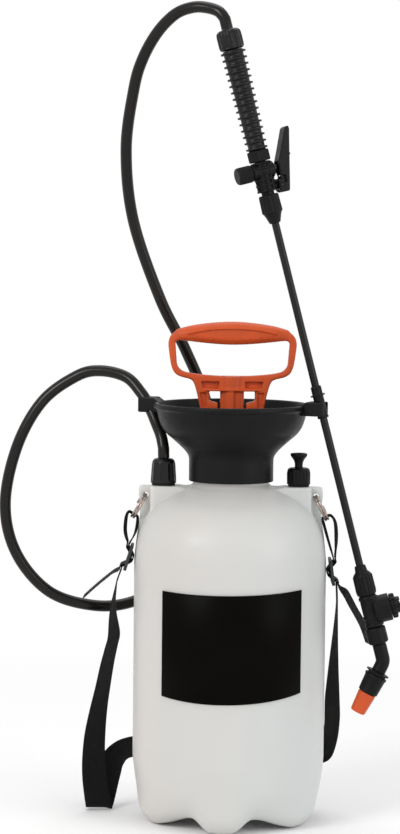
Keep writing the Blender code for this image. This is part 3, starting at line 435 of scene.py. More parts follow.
def moulded(field, low, high, step, place=TANK):
    """Closed patch where a field is zero, by surface nets.

    Each cell of a grid that the surface crosses gives one point, the mean of the crossings on its edges,
    which then moves twice down the field's slope on to the surface. Each grid edge that changes sign
    gives one quad.
    """
    axes = [np.arange(a - 2 * step, b + 2.6 * step, step) for a, b in zip(low, high)]
    values = field(*np.meshgrid(*axes, indexing="ij", sparse=True)).astype(np.float32)
    solid = values < 0
    size = solid.shape
    offsets = np.array([(i, j, k) for i in (0, 1) for j in (0, 1) for k in (0, 1)])
    count = np.zeros([n - 1 for n in size], np.int8)
    for i, j, k in offsets:
        count += solid[i:size[0] - 1 + i, j:size[1] - 1 + j, k:size[2] - 1 + k]
    active = (count > 0) & (count < 8)
    number = np.full(active.shape, -1, np.int64)
    number[active] = np.arange(np.count_nonzero(active))
    cells = np.argwhere(active)
    total, hits = np.zeros((len(cells), 3)), np.zeros(len(cells))
    for axis in range(3):
        for start in offsets[offsets[:, axis] == 0]:
            end = start + np.eye(3, dtype=int)[axis]
            here = values[tuple((cells + start).T)].astype(float)
            there = values[tuple((cells + end).T)].astype(float)
            crossed = (here < 0) != (there < 0)
            share = np.where(crossed, here / np.where(crossed, here - there, 1.0), 0.0)
            point = cells + start + share[:, None] * (end - start)
            total += np.where(crossed[:, None], point, 0.0)
            hits += crossed
    points = total / hits[:, None] * step + np.array([a[0] for a in axes])
    for _ in range(2):
        slope = np.stack([
            (field(*(points + d).T) - field(*(points - d).T)) / 0.1 for d in 0.05 * np.eye(3)
        ], axis=1)
        move = field(*points.T)[:, None] * slope / np.maximum(np.sum(slope * slope, axis=1), 0.2)[:, None]
        points -= np.clip(move, -0.4 * step, 0.4 * step)
    quads = []
    for axis in range(3):
        one, two = [k for k in range(3) if k != axis]
        near = np.take(solid, range(size[axis] - 1), axis)
        far = np.take(solid, range(1, size[axis]), axis)
        edges = np.argwhere(near != far)
        inner = (edges[:, one] > 0) & (edges[:, two] > 0)
        inner &= (edges[:, one] < size[one] - 1) & (edges[:, two] < size[two] - 1)
        edges = edges[inner]
        shift_one, shift_two = np.eye(3, dtype=int)[one], np.eye(3, dtype=int)[two]
        corners = (edges, edges - shift_one, edges - shift_one - shift_two, edges - shift_two)
        quads.append(np.stack([number[tuple(c.T)] for c in corners], axis=1))
    return on(place, points), np.vstack(quads), []


# Pieces


def piece(name, patches, body, slot, nodes, sharp=40.0, uv=None, hide=True, look=None):
    """One object from patches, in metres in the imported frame, that rides on a body and stands for its nodes.

    look names a variant of the slot's finish.
    """
    starts = np.cumsum([0] + [len(p[0]) for p in patches])
    points = (np.vstack([p[0] for p in patches]) + AXIS) * MM
    faces = []
    for (_, quads, caps), start in zip(patches, starts):
        faces += (quads + start).tolist() + [(cap + start).tolist() for cap in caps]
    mesh = bpy.data.meshes.new(name)
    mesh.from_pydata(points, [], faces)
    work = bmesh.new()
    work.from_mesh(mesh)
    bmesh.ops.recalc_face_normals(work, faces=work.faces)
    work.to_mesh(mesh)
    work.free()
    if uv is not None:
        corner = np.empty(len(mesh.loops), np.int32)
        mesh.loops.foreach_get("vertex_index", corner)
        layer = mesh.uv_layers.new(name="weave")
        layer.data.foreach_set("uv", np.asarray(uv, np.float32)[corner].ravel())
    mesh.shade_smooth()
    mesh.set_sharp_from_angle(angle=math.radians(sharp))
    mesh.materials.append(finish(look or slot))
    made = bpy.data.objects.new(name, mesh)
    bpy.context.scene.collection.objects.link(made)
    if body:
        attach(made, body)
    if hide:
        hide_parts(*nodes)
    return made


def lathe(name, node, corners, radii, place, sides, body="lance", slot="black_plastic", closed=True,
          steps=4, carve=None, look=None):
    """Piece of revolution: a profile with rounded corners, closed or open at the axis, turned round Z."""
    patch = turned(soften(corners, radii, closed, steps), place, sides, closed, carve)
    return piece(name, [patch], body, slot, [node], look=look)


# Finishes


def feed(tree, socket, value):
    """Link a socket to an output, or give it a plain value."""
    if isinstance(value, bpy.types.NodeSocket):
        tree.links.new(value, socket)
    else:
        socket.default_value = value


def add_node(tree, kind, inputs, **attributes):
    """A new shader node with its attributes, and its inputs by name or number."""
    made = tree.nodes.new("ShaderNode" + kind)
    for name, value in attributes.items():
        setattr(made, name, value)
    for name, value in inputs.items():
        feed(tree, made.inputs[name], value)
    return made


def times(colour, share):
    """A colour made darker or paler."""
    return [c * share for c in colour]


class Finish:
    """A material with one Principled shader that is drawn on Object coordinates."""

    def __init__(self, name):
        self.made = bpy.data.materials.new(name)
        self.made.use_nodes = True
        self.tree = self.made.node_tree
        self.shader = self.tree.nodes["Principled BSDF"]
        self.place = self.node("TexCoord", {}).outputs["Object"]

    def node(self, kind, inputs, **attributes):
        """A new node in the material's tree."""
        return add_node(self.tree, kind, inputs, **attributes)

    def shade(self, inputs):
        """Inputs of the shader by name."""
        for name, value in inputs.items():
            feed(self.tree, self.shader.inputs[name], value)

    def noise(self, scale, detail=3.0, stretch=(1, 1, 1)):
        """Noise, stretched by a Mapping node. Scale counts features in a metre."""
        mapping = self.node("Mapping", {"Vector": self.place, "Scale": stretch})
        inputs = {"Vector": mapping.outputs["Vector"], "Scale": scale, "Detail": detail}
        return self.node("TexNoise", inputs).outputs["Fac"]

    def spread(self, value, low, high, start=0.3, end=0.7):
        """Map a value from its middle range to a range of a socket."""
        inputs = {"Value": value, "From Min": start, "From Max": end, "To Min": low, "To Max": high}
        return self.node("MapRange", inputs).outputs["Result"]

    def tint(self, value, dark, pale, start=0.3, end=0.7):
        """Two colours mixed by a value."""
        inputs = {0: self.spread(value, 0.0, 1.0, start, end), 6: (*dark, 1.0), 7: (*pale, 1.0)}
        return self.node("Mix", inputs, data_type="RGBA").outputs[2]

    def bump(self, value, depth, strength):
        """Relief of a value, depth in metres, over any relief that is already there."""
        inputs = {"Strength": strength, "Distance": depth, "Height": value}
        before = self.shader.inputs["Normal"].links
        if before:
            inputs["Normal"] = before[0].from_socket
        self.shade({"Normal": self.node("Bump", inputs).outputs["Normal"]})


def moulded_plastic(name, colour, roughness, specular, grain=0.00004, vary=0.16):
    """Injection-moulded plastic: cloudy colour, a fine spark-eroded grain and roughness that drifts."""
    look = Finish(name)
    look.shade({
        "Base Color": look.tint(look.noise(60.0), times(colour, 1 - vary), times(colour, 1 + vary)),
        "Roughness": look.spread(look.noise(240.0), roughness - 0.06, roughness + 0.07),
        "Specular IOR Level": specular,
    })
    look.bump(look.noise(2600.0, 2.0), grain, 0.5)
    look.bump(look.noise(45.0, 1.0), 0.0004, 0.12)
    return look.made


def polyethylene(name, colour):
    """Blow-moulded wall: light passes into it, its tone drifts in clouds, a painted reflection makes its left
    side warmer and its right side cooler, and its skin waves a little.
    """
    look = Finish(name)
    cloud = look.noise(9.0, 2.0, (1, 1, 0.45))
    # Ends of the tone: the clouds drift between them, and the painted reflection pulls the left side to warm
    # and the right side to cool.
    warm = (colour[0] * 1.01, colour[1] * 0.945, colour[2] * 0.91)
    cool = (colour[0] * 0.96, colour[1] * 0.99, colour[2] * 0.985)
    # Painted reflection: X from -0.1 to 0.08 gives a share from warm to cool, which makes up half of the mix
    # with the clouds.
    split = look.node("SeparateXYZ", {0: look.place})
    side = look.spread(split.outputs["X"], 0.2, 0.8, -0.1, 0.08)
    painted_reflection_share = look.node("Math", {0: side, 1: 0.5}, operation="MULTIPLY")
    mix = look.node("Math", {0: cloud, 1: 0.5, 2: painted_reflection_share.outputs[0]}, operation="MULTIPLY_ADD")
    look.shade({
        "Base Color": look.tint(mix.outputs[0], warm, cool, 0.25, 0.75),
        "Roughness": look.spread(look.noise(120.0), 0.36, 0.5),
        "Subsurface Weight": 0.5,
        "Subsurface Radius": (0.018, 0.018, 0.017),
        "Subsurface Scale": 1.0,
        "Specular IOR Level": 0.4,
    })
    look.bump(look.noise(14.0, 1.0), 0.002, 0.10)
    look.bump(look.noise(1500.0, 2.0), 0.00003, 0.35)
    return look.made


def webbing(name, colour):
    """Woven strap: ribs across the width and along the length trade places in a chequer of its UV map, and
    their height gives painted shade in the low places and painted light on the tops.
    """
    look = Finish(name)
    chart = look.node("UVMap", {}, uv_map="weave").outputs["UV"]
    ribs = [
        look.node("TexWave", {"Vector": chart, "Scale": scale, "Distortion": 0.4}, bands_direction=bands)
        for bands, scale in (("X", 11.0), ("Y", 300.0))
    ]
    mapping = look.node("Mapping", {"Vector": chart, "Scale": (22.0, 600.0, 1.0)})
    chequer = look.node("TexChecker", {"Vector": mapping.outputs["Vector"], "Scale": 1.0})
    trade = {0: chequer.outputs["Fac"], 2: ribs[0].outputs["Fac"], 3: ribs[1].outputs["Fac"]}
    height = look.node("Mix", trade, data_type="FLOAT").outputs[0]
    # Painted shade and painted light: the base colour follows the rib height, dark in the weave's low places
    # and pale on its tops.
    look.shade({
        "Base Color": look.tint(height, times(colour, 0.55), times(colour, 1.6), 0.0, 1.0),
        "Roughness": look.spread(look.noise(200.0), 0.72, 0.92),
        "Specular IOR Level": 0.12,
        "Sheen Weight": 0.05,
        "Sheen Roughness": 0.5,
    })
    look.bump(height, 0.0004, 0.8)
    look.bump(look.noise(900.0), 0.0002, 0.3)
    return look.made


def nickel(name, colour):
    """Nickel-plated wire: bright metal with rubbed patches that dull and darken it."""
    look = Finish(name)
    rub = look.noise(420.0, 4.0)
    look.shade({
        "Base Color": look.tint(rub, times(colour, 0.72), colour),
        "Roughness": look.spread(rub, 0.34, 0.18),
        "Metallic": 1.0,
    })
    look.bump(look.noise(1800.0, 2.0), 0.00002, 0.3)
    return look.made


def hose_vinyl(name, colour):
    """Extruded vinyl hose: soft gloss, faint clouding and a slight drag from the die."""
    look = Finish(name)
    warm = (colour[0] * 1.3, colour[1] * 1.18, colour[2] * 1.05)
    look.shade({
        "Base Color": look.tint(look.noise(38.0), times(colour, 0.85), warm),
        "Roughness": look.spread(look.noise(160.0), 0.17, 0.25),
        "Specular IOR Level": 0.24,
    })
    look.bump(look.noise(700.0, 2.0), 0.00002, 0.3)
    return look.made


def label_film(name, colour):
    """Plain film: deep even black with a faint orange-peel gloss."""
    look = Finish(name)
    look.shade({
        "Base Color": look.tint(look.noise(25.0), times(colour, 0.85), times(colour, 1.15)),
        "Roughness": look.spread(look.noise(300.0), 0.3, 0.4),
        "Specular IOR Level": 0.03,
    })
    look.bump(look.noise(500.0, 1.0), 0.00003, 0.4)
    return look.made


def finish(slot):
    """The material of one of the record's slots or of a variant, made once from the finish settings."""
    name = "look_" + slot
    found = bpy.data.materials.get(name)
    if found:
        return found
    looks = bpy.context.scene.sprayer_finish
    plastics = {
        "black_plastic": (looks.black_colour, 0.42, 0.14),
        "black_gloss": (times(looks.black_colour, 0.75), 0.37, 0.26, 0.00002),
        "orange_plastic": (looks.orange_colour, 0.42, 0.25, 0.00003, 0.07),
        "grey_plastic": (looks.grey_colour, 0.5, 0.3),
        "white_plastic": (looks.white_colour, 0.4, 0.4, 0.00002, 0.04),
        "black_rubber": (looks.rubber_colour, 0.75, 0.25, 0.00006),
    }
    if slot in plastics:
        return moulded_plastic(name, *plastics[slot])
    make, colour = {
        "translucent_polyethylene": (polyethylene, looks.tank_colour),
        "black_label": (label_film, looks.label_colour),
        "hose_vinyl": (hose_vinyl, looks.hose_colour),
        "webbing": (webbing, looks.webbing_colour),
        "nickel_steel": (nickel, looks.nickel_colour),
        # The valve stem's steel is near black as painted shade, so it reads as the shade in the lever's
        # pocket.
        "dark_steel": (nickel, looks.painted_shade_steel_colour),
    }[slot]
    return make(name, tuple(colour))


# Settings


def setting(label, words, value, **limits):
    """A number with its label, description and default."""
    return bpy.props.FloatProperty(name=label, description=words, default=value, **limits)


def colour_setting(label, words, value):
    """A colour with its label, description and default."""
    return bpy.props.FloatVectorProperty(
        name=label, description=words, default=value, size=3, min=0.0, max=1.0, subtype="COLOR",
    )


class SprayerFinish(bpy.types.PropertyGroup):
    """Colours of the finishes, as scene-linear values."""

    tank_colour: colour_setting("Tank", "Tone of the translucent tank wall", (0.63, 0.64, 0.635))
    label_colour: colour_setting("Label", "Tone of the bare label film", (0.0022, 0.0019, 0.0015))
    black_colour: colour_setting("Black parts", "Tone of the black mouldings", (0.0050, 0.0050, 0.0052))
    orange_colour: colour_setting("Orange parts", "Tone of the handle and nozzle tip", (0.56, 0.080, 0.018))
    grey_colour: colour_setting("Buckles", "Tone of the strap buckles", (0.03, 0.031, 0.033))
    white_colour: colour_setting("White parts", "Tone of the pump rod and inner tubes", (0.72, 0.72, 0.70))
    rubber_colour: colour_setting("Seals", "Tone of the rubber seals", (0.012, 0.012, 0.012))
    hose_colour: colour_setting("Hose", "Tone of the hose", (0.0066, 0.0060, 0.0052))
    webbing_colour: colour_setting("Strap", "Tone of the webbing", (0.0062, 0.0062, 0.0064))
    nickel_colour: colour_setting("Rings", "Tone of the nickel plate", (0.46, 0.385, 0.34))
    # Painted shade: the valve stem is near black so it reads as the shade in the lever's pocket.
    painted_shade_steel_colour: colour_setting("Valve stem", "Tone of the dark steel", (0.035, 0.034, 0.033))


class SprayerSizes(bpy.types.PropertyGroup):
    """Sizes of the soft and wound pieces."""

    hose_diameter: setting(
        "Hose diameter", "Outside diameter of the hose", 0.011, min=0.004, max=0.02, unit="LENGTH",
    )
    strap_width: setting(
        "Strap width", "Width of the webbing laid flat", 0.025, min=0.01, max=0.05, unit="LENGTH",
    )
    strap_thickness: setting(
        "Strap thickness", "Thickness of the webbing", 0.0012, min=0.0005, max=0.003, unit="LENGTH",
    )
    ring_wire: setting(
        "Ring wire", "Diameter of the split rings' wire", 0.0021, min=0.0008, max=0.003, unit="LENGTH",
    )


class SprayerStage(bpy.types.PropertyGroup):
    """Camera, light and floor."""

    focal_length: setting(
        "Focal length", "Camera lens in millimetres on a 36 mm sensor", 126.73, min=20.0, max=300.0,
        subtype="DISTANCE_CAMERA",
    )
    pitch: setting("Pitch", "How far the camera looks down", math.radians(4.11962), subtype="ANGLE")
    roll: setting("Roll", "How far the camera leans over", math.radians(0.60492), subtype="ANGLE")
    floor_colour: colour_setting("Floor", "Tone of the floor", (0.965, 0.965, 0.965))
    room_light: setting("Room light", "Strength of the even light from all round", 0.66, min=0.0, max=3.0)
    key_light: setting("Key light", "Power of the large lamp on the left", 24.0, **LAMP_POWER)
    fill_light: setting("Fill light", "Power of the large lamp on the right", 13.0, **LAMP_POWER)
    top_light: setting("Top light", "Power of the lamp overhead", 11.0, **LAMP_POWER)


# Operators


class SPRAYER_OT_stage(bpy.types.Operator):
    """Camera at the photograph's angle, a pale floor that fades out, soft lamps and an even room light"""

    bl_idname = "sprayer.stage"
    bl_label = "Stage"

    def execute(self, context):
        scene, settings = context.scene, context.scene.sprayer_stage
        scene.view_settings.view_transform = "Standard"
        lens = bpy.data.cameras.new("photo_camera")
        lens.lens = settings.focal_length
        lens.sensor_width = 36.0
        lens.clip_start, lens.clip_end = 0.05, 40.0
        camera = bpy.data.objects.new("photo_camera", lens)
        scene.collection.objects.link(camera)
        spot = np.array(CAMERA_SPOT) + AXIS * MM
        tilt = Matrix.Rotation(math.radians(90) - settings.pitch, 4, "X")
        camera.matrix_world = Matrix.Translation(spot) @ tilt @ Matrix.Rotation(settings.roll, 4, "Z")
        scene.camera = camera
        self.lay_floor(scene, settings)
        self.light_room(scene, settings)
        for name, (place, size) in LAMPS.items():
            lamp = bpy.data.lights.new(name + "_lamp", "AREA")
            lamp.energy = getattr(settings, name + "_light")
            lamp.size = size
            holder = bpy.data.objects.new(name + "_lamp", lamp)
            scene.collection.objects.link(holder)
            towards = np.array(LAMP_AIM) - place
            ahead = towards / np.linalg.norm(towards)
            side = np.cross(ahead, (0, 0.02, 1))
            side /= np.linalg.norm(side)
            axes = np.stack((side, np.cross(side, ahead), -ahead), axis=1)
            holder.matrix_world = Matrix.Translation(place) @ Matrix(axes.tolist()).to_4x4()
        return {"FINISHED"}

    def lay_floor(self, scene, settings):
        """Floor: a flat disc of rings, whose finish turns clear towards its edge."""
        radius = np.concatenate((np.linspace(0.001, 1.4, 40), (2.2,)))[:, None]
        angle = np.linspace(0, 2 * math.pi, FLOOR_SIDES, endpoint=False)[None]
        flat, quads, _ = skin(round_axis(radius, FLOOR_LEVEL, angle))
        mesh = bpy.data.meshes.new("floor")
        mesh.from_pydata(flat, [], quads[:, ::-1].tolist() + [list(range(FLOOR_SIDES))])
        floor = bpy.data.objects.new("floor", mesh)
        scene.collection.objects.link(floor)
        look = Finish("floor")
        colour = (*settings.floor_colour, 1.0)
        look.shade({"Base Color": colour, "Roughness": 0.9, "Specular IOR Level": 0.0})
        far = look.node("VectorMath", {0: look.place}, operation="LENGTH")
        fade = look.spread(far.outputs["Value"], 1.0, 0.0, 0.35, 1.1)
        clear = look.node("BsdfTransparent", {})
        mix = look.node("MixShader", {0: fade, 1: clear.outputs[0], 2: look.shader.outputs[0]})
        feed(look.tree, look.tree.nodes["Material Output"].inputs["Surface"], mix.outputs[0])
        mesh.materials.append(look.made)

    def light_room(self, scene, settings):
        """World: white to the eye, to mirrors and to glass, and a lower even light for everything else."""
        world = bpy.data.worlds.new("room")
        scene.world = world
        world.use_nodes = True
        tree = world.node_tree
        ground = tree.nodes["Background"]
        ground.inputs["Color"].default_value = (1, 1, 1, 1)
        path = add_node(tree, "LightPath", {})
        seen = path.outputs["Is Camera Ray"]
        for name in ("Is Glossy Ray", "Is Transmission Ray"):
            seen = add_node(tree, "Math", {0: seen, 1: path.outputs[name]}, operation="MAXIMUM").outputs[0]
        strength = add_node(tree, "MapRange", {"Value": seen, "To Min": settings.room_light, "To Max": 1.0})
        feed(tree, ground.inputs["Strength"], strength.outputs["Result"])


class SPRAYER_OT_hose(bpy.types.Operator):
    """Hose: circles of one radius carried along the smooth curve through the route"""

    bl_idname = "sprayer.hose"
    bl_label = "Hose"

    def execute(self, context):
        diameter = context.scene.sprayer_sizes.hose_diameter
        path = np.vstack((HOSE_ROUTE[0], even_path(HOSE_ROUTE[1:-1], HOSE_STEP), HOSE_ROUTE[-1]))
        tube = swept(path, diameter / MM / 2, HOSE_SIDES, (0, 1, 0))
        made = piece("hose_tube", [tube], None, "hose_vinyl", ["hose"])
        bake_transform(made)
        return {"FINISHED"}


class SPRAYER_OT_tank(bpy.types.Operator):
    """Tank: a profile of revolution that swells into two bosses with ears and breaks into petal feet"""

    bl_idname = "sprayer.tank"
    bl_label = "Tank"

    def execute(self, context):
        angle = self.angles()
        neck = soften(((0.5, 326), (31.5, 326), (31.5, NECK_TOP), (NECK_R, NECK_TOP), (NECK_R, 322.5)), 0.8)
        wall = np.column_stack((np.full(7, TANK_R), np.linspace(238, 66, 7)))
        rings = [self.flat(neck, angle), self.shoulder(angle), self.flat(wall, angle), self.base(angle)]
        patch = skin(np.concatenate(rings), capped=True)
        tank = piece("tank_shell", [patch], "tank", "translucent_polyethylene", ["tank"], TANK_SHARP)
        self.drill(tank)
        return {"FINISHED"}

    def angles(self):
        """Angles of the columns: even, closer at the bosses and closest at the sides of the ears."""
        edge = np.arange(2.1, 3.6, 0.15)
        near = np.radians(np.concatenate((np.arange(-22, 22.1, 0.55), edge, -edge)))
        plain = np.linspace(0, 2 * math.pi, 220, endpoint=False)
        from_boss = np.abs((plain + math.pi / 2) % math.pi - math.pi / 2)
        plain = plain[from_boss > math.radians(22.5)]
        angle = np.sort(np.concatenate((plain, near % (2 * math.pi), near + math.pi)))
        return angle[np.concatenate(([True], np.diff(angle) > 1e-4))]

    def flat(self, profile, angle):
        """Rows of plain circles from (radius, height)."""
        return round_axis(profile[:, :1], profile[:, 1:], angle[None])

    def shoulder(self, angle):
        """Dome rows; where y is within a boss or an ear, the row moves to that form's own profile."""
        dome = resample(smooth_path((
            (NECK_R, 321.5), (39, 319), (45, 316.8), (58, 310), (70, 301.5), (80, 290.5), (87, 277),
            (90.2, 262), (TANK_R, 248),
        ), 10), SHOULDER_ROWS)
        start = ((NECK_R, 321.5), (40, 319.3), (46, 318.2), (52, BOSS_TOP))
        boss = soften((
            *start, (77, BOSS_TOP), (77, 295), (83, 286.5), (88.6, 270), (TANK_R, 248),
        ), (0, 2, 3, 3, 1.8, 4, 6, 8, 0))
        ear = soften((
            *start, (85.4, BOSS_TOP), (87, 317.6), (87.4, 311), (86.3, 304), (85.8, 290), (88.2, 275),
            (90, 260), (TANK_R, 248),
        ), (0, 2, 3, 3, 0.9, 0.9, 2.4, 4, 6, 7, 6, 0))
        turn = np.abs(np.sin(angle))[None]
        radius, height = (dome[:, k][:, None] + 0 * angle[None] for k in (0, 1))
        down = np.linspace(0, 1, SHOULDER_ROWS)[:, None]
        fade = smooth_step(down * 8) * smooth_step((1 - down) * 8)
        for corners, half, edge in ((boss, 15.0, 1.6), (ear, 4.0, 0.7)):
            line = resample(corners, SHOULDER_ROWS)
            share = smooth_step((half + edge - line[:, :1] * turn) / (2 * edge)) * fade
            radius = radius + share * (line[:, :1] - radius)
            height = height + share * (line[:, 1:] - height)
        return round_axis(radius, height, angle)

    def base(self, angle):
        """Base rows: a foot's and a valley's profile, mixed round the tank by powers of a raised cosine.

        The two valleys beside the front foot stand nearer to it, so its flanks are steeper than the others.
        """
        foot = smooth_path((
            (91, 62), (89.4, 50), (87.4, 36), (86.2, 24), (84.4, 13), (79.6, 5), (74, 0.3), (69, 0),
            (62, 0.2), (52, 4.5), (40, 10.5), (8, 13), (0.5, 13),
        ), 7)
        valley = smooth_path((
            (91, 63), (90.6, 50), (89, 38), (85.6, 28.5), (81, 20.8), (76, 15.6), (70.6, 12.8), (64, 11.6),
            (57, 11.3), (49, 11.6), (38, 12.4), (8, 13), (0.5, 13),
        ), 7)
        foot[:, 1] = np.maximum(foot[:, 1], 0)
        away = np.abs((np.degrees(angle) - PETAL_TURN + 180) % 360 - 180)
        phase = np.interp(away, (0, 24, 72, 108, 144, 180), (0, 0.5, 1, 1.5, 2, 2.5))
        share = 1 - (((1 - np.cos(2 * math.pi * phase)) / 2) ** np.where(away < 24, 2.0, 1.3))[None]
        radius, height = (valley[:, k:k + 1] + (foot - valley)[:, k:k + 1] * share for k in (0, 1))
        return round_axis(radius, height, angle)

    def drill(self, tank):
        """Ring holes through the ears: two cylinders along Y are cut out of the shell."""
        line = ((RING_HOLE_R, -9), (RING_HOLE_R, 9))
        x, z = RING_HOLE
        patches = [turned(line, across(upright(side * x, z), "Y"), 24, closed=False) for side in (-1, 1)]
        drill = piece("ring_drill", patches, None, "translucent_polyethylene", [], hide=False)
        step = tank.modifiers.new("ring_holes", "BOOLEAN")
        step.operation = "DIFFERENCE"
        step.solver = "EXACT"
        step.object = drill
        bpy.context.view_layer.update()
        done = bpy.data.meshes.new_from_object(tank.evaluated_get(bpy.context.evaluated_depsgraph_get()))
        tank.modifiers.clear()
        tank.data = done
        done.set_sharp_from_angle(angle=math.radians(TANK_SHARP))
        bpy.data.objects.remove(drill)


class SPRAYER_OT_label(bpy.types.Operator):
    """Label film: a thin section round the tank's front, whose two edges are parabolas in the angle"""

    bl_idname = "sprayer.label"
    bl_label = "Label film"

    def execute(self, context):
        t = np.linspace(-1, 1, 91)
        angle = np.radians(LABEL_TURN + LABEL_HALF * t - 90)
        low, high = 124.5 + 1.85 * t + 5.9 * t * t, 225.8 + 0.9 * t + 2.1 * t * t
        inner = TANK_R + LABEL_GAP
        outer, middle = inner + LABEL_THICK, 0.5 * (low + high)
        rows = (
            (inner, low), (outer - 0.15, low), (outer, low + 0.2), (outer, middle), (outer, high - 0.2),
            (outer - 0.15, high), (inner, high), (inner, middle),
        )
        points = np.array([round_axis(reach, height, angle) for reach, height in rows]).transpose(1, 0, 2)
        piece("label_film", [skin(points, capped=True)], "tank", "black_label", ["label_panel"], LABEL_SHARP)
        return {"FINISHED"}


class SPRAYER_OT_funnel(bpy.types.Operator):
    """Funnel: a turned bowl and collar, with a hose hook and a lance fork moulded on its rim"""

    bl_idname = "sprayer.funnel"
    bl_label = "Fill funnel"

    def execute(self, context):
        wall = (
            (40, 324), (40, 347), (44.2, 353), (54.4, 362.4), (61.6, 368.4), (66, 374), (69, 381.5),
            (71.2, 391), (74, 393), (74, 396), (72.4, 397.5), (69.6, 397), (66.6, 382), (63.6, 375.4),
            (59.2, 370), (52, 363.8), (41.4, 353.6), (37, 347.2), (32.4, 347.2), (32.4, 344.4),
            (36.4, 344.4), (36.4, 324),
        )
        radii = (0.6, 4, 6, 5, 4.5, 4.5, 5, 1.2, 0.7, 0.9, 0.9, 1.5, 4, 4, 4, 5, 4, 1.5, 0.5, 0.5, 0.5, 0.6)
        bowl = turned(soften(wall, radii, True, 6), sides=160)
        arms = moulded(self.arms, (-100, -44, 385), (97, 44, 403), step=0.62)
        piece("funnel_body", [bowl, arms], "tank", "black_plastic", ["funnel"])
        return {"FINISHED"}

    def arms(self, x, y, z):
        """Field of the arms: rounded slabs on one diameter, less the bowl's room, lance seat and hose eye.

        Their tops slope down to the rim.
        """
        c, s = math.cos(math.radians(ARM_TURN)), math.sin(math.radians(ARM_TURN))
        u, v = x * c + y * s, y * c - x * s
        middle, half = (ARM_LOW + ARM_HIGH) / 2, (ARM_HIGH - ARM_LOW) / 2
        fork = soften(((66, -7.4), (92.6, -9.6), (92.6, 9.6), (66, 11)), 3.5, True)
        hook = soften(((-66, -13.5), (-66, 8), (-91, 7), (-91, -12.5)), 4, True)
        field = np.minimum(
            slab_field(outline_field(u, v, fork), z - middle, half, 1.2),
            slab_field(outline_field(u, v, hook), z - middle + 0.5, half + 0.5, 1.2),
        )
        reach = np.sqrt(x * x + y * y)
        field = np.maximum(field, 68.8 + (z - 385) * 0.0526 - reach)
        field = np.maximum(field, (z - RIM_TOP - 0.7 * (reach - 70.5)) * 0.82)
        lean = LANCE[1]
        a, b = (x - CLIP_POINT[0]) * lean[0, 0] + (z - CLIP_POINT[2]) * lean[2, 0], y - CLIP_POINT[1]
        seat = np.sqrt(a * a + b * b) - LANCE_SEAT_R
        mouth = np.maximum(np.abs(v) - 5.5, math.hypot(CLIP_POINT[0], CLIP_POINT[1]) - u)
        field = carve_out(field, np.minimum(seat, mouth), 0.8)
        route = np.asarray(HOSE_ROUTE, float)
        ahead = route[HOOK_POINT + 1] - route[HOOK_POINT - 1]
        ahead /= np.linalg.norm(ahead)
        px, py, pz = (p - q for p, q in zip((x, y, z), route[HOOK_POINT]))
        along = px * ahead[0] + py * ahead[1] + pz * ahead[2]
        eye = np.sqrt(np.maximum(px * px + py * py + pz * pz - along * along, 0)) - HOSE_EYE_R
        return carve_out(field, eye, 0.8)


class SPRAYER_OT_pump(bpy.types.Operator):
    """Pump cap with its hub and locking lugs, and the rod that the handle lifts"""

    bl_idname = "sprayer.pump"
    bl_label = "Pump"

    def execute(self, context):
        wall = (
            (6.5, 386), (15.5, 386), (17, 384.5), (17, 357), (35, 354), (35, 347.7), (31, 347.7), (31, 322),
            (22.7, 322), (22.7, 340), (6.5, 340),
        )
        cap = turned(soften(wall, 1.2, True), sides=96, carve=flutes(36, 0.7, 346.5, 355, 1.0))
        places = [(np.zeros(3), turn_z(turn)) for turn in LUG_TURNS]
        lugs = [moulded(self.lug, LUG_LOW, LUG_HIGH, step=0.5, place=place) for place in places]
        piece("pump_cap_body", [cap] + lugs, "tank", "black_plastic", ["pump_cap"])
        rod = ((0.3, 414), (6, 414), (6, 112), (0.3, 112))
        lathe("pump_rod_bar", "pump_rod", rod, 0.8, TANK, 48, "pump_rod", "white_plastic", closed=False)
        return {"FINISHED"}

    def lug(self, x, y, z):
        """Field of one locking lug: a rounded block."""
        return block_field(x, y, z, LUG_LOW, LUG_HIGH, 1.0)


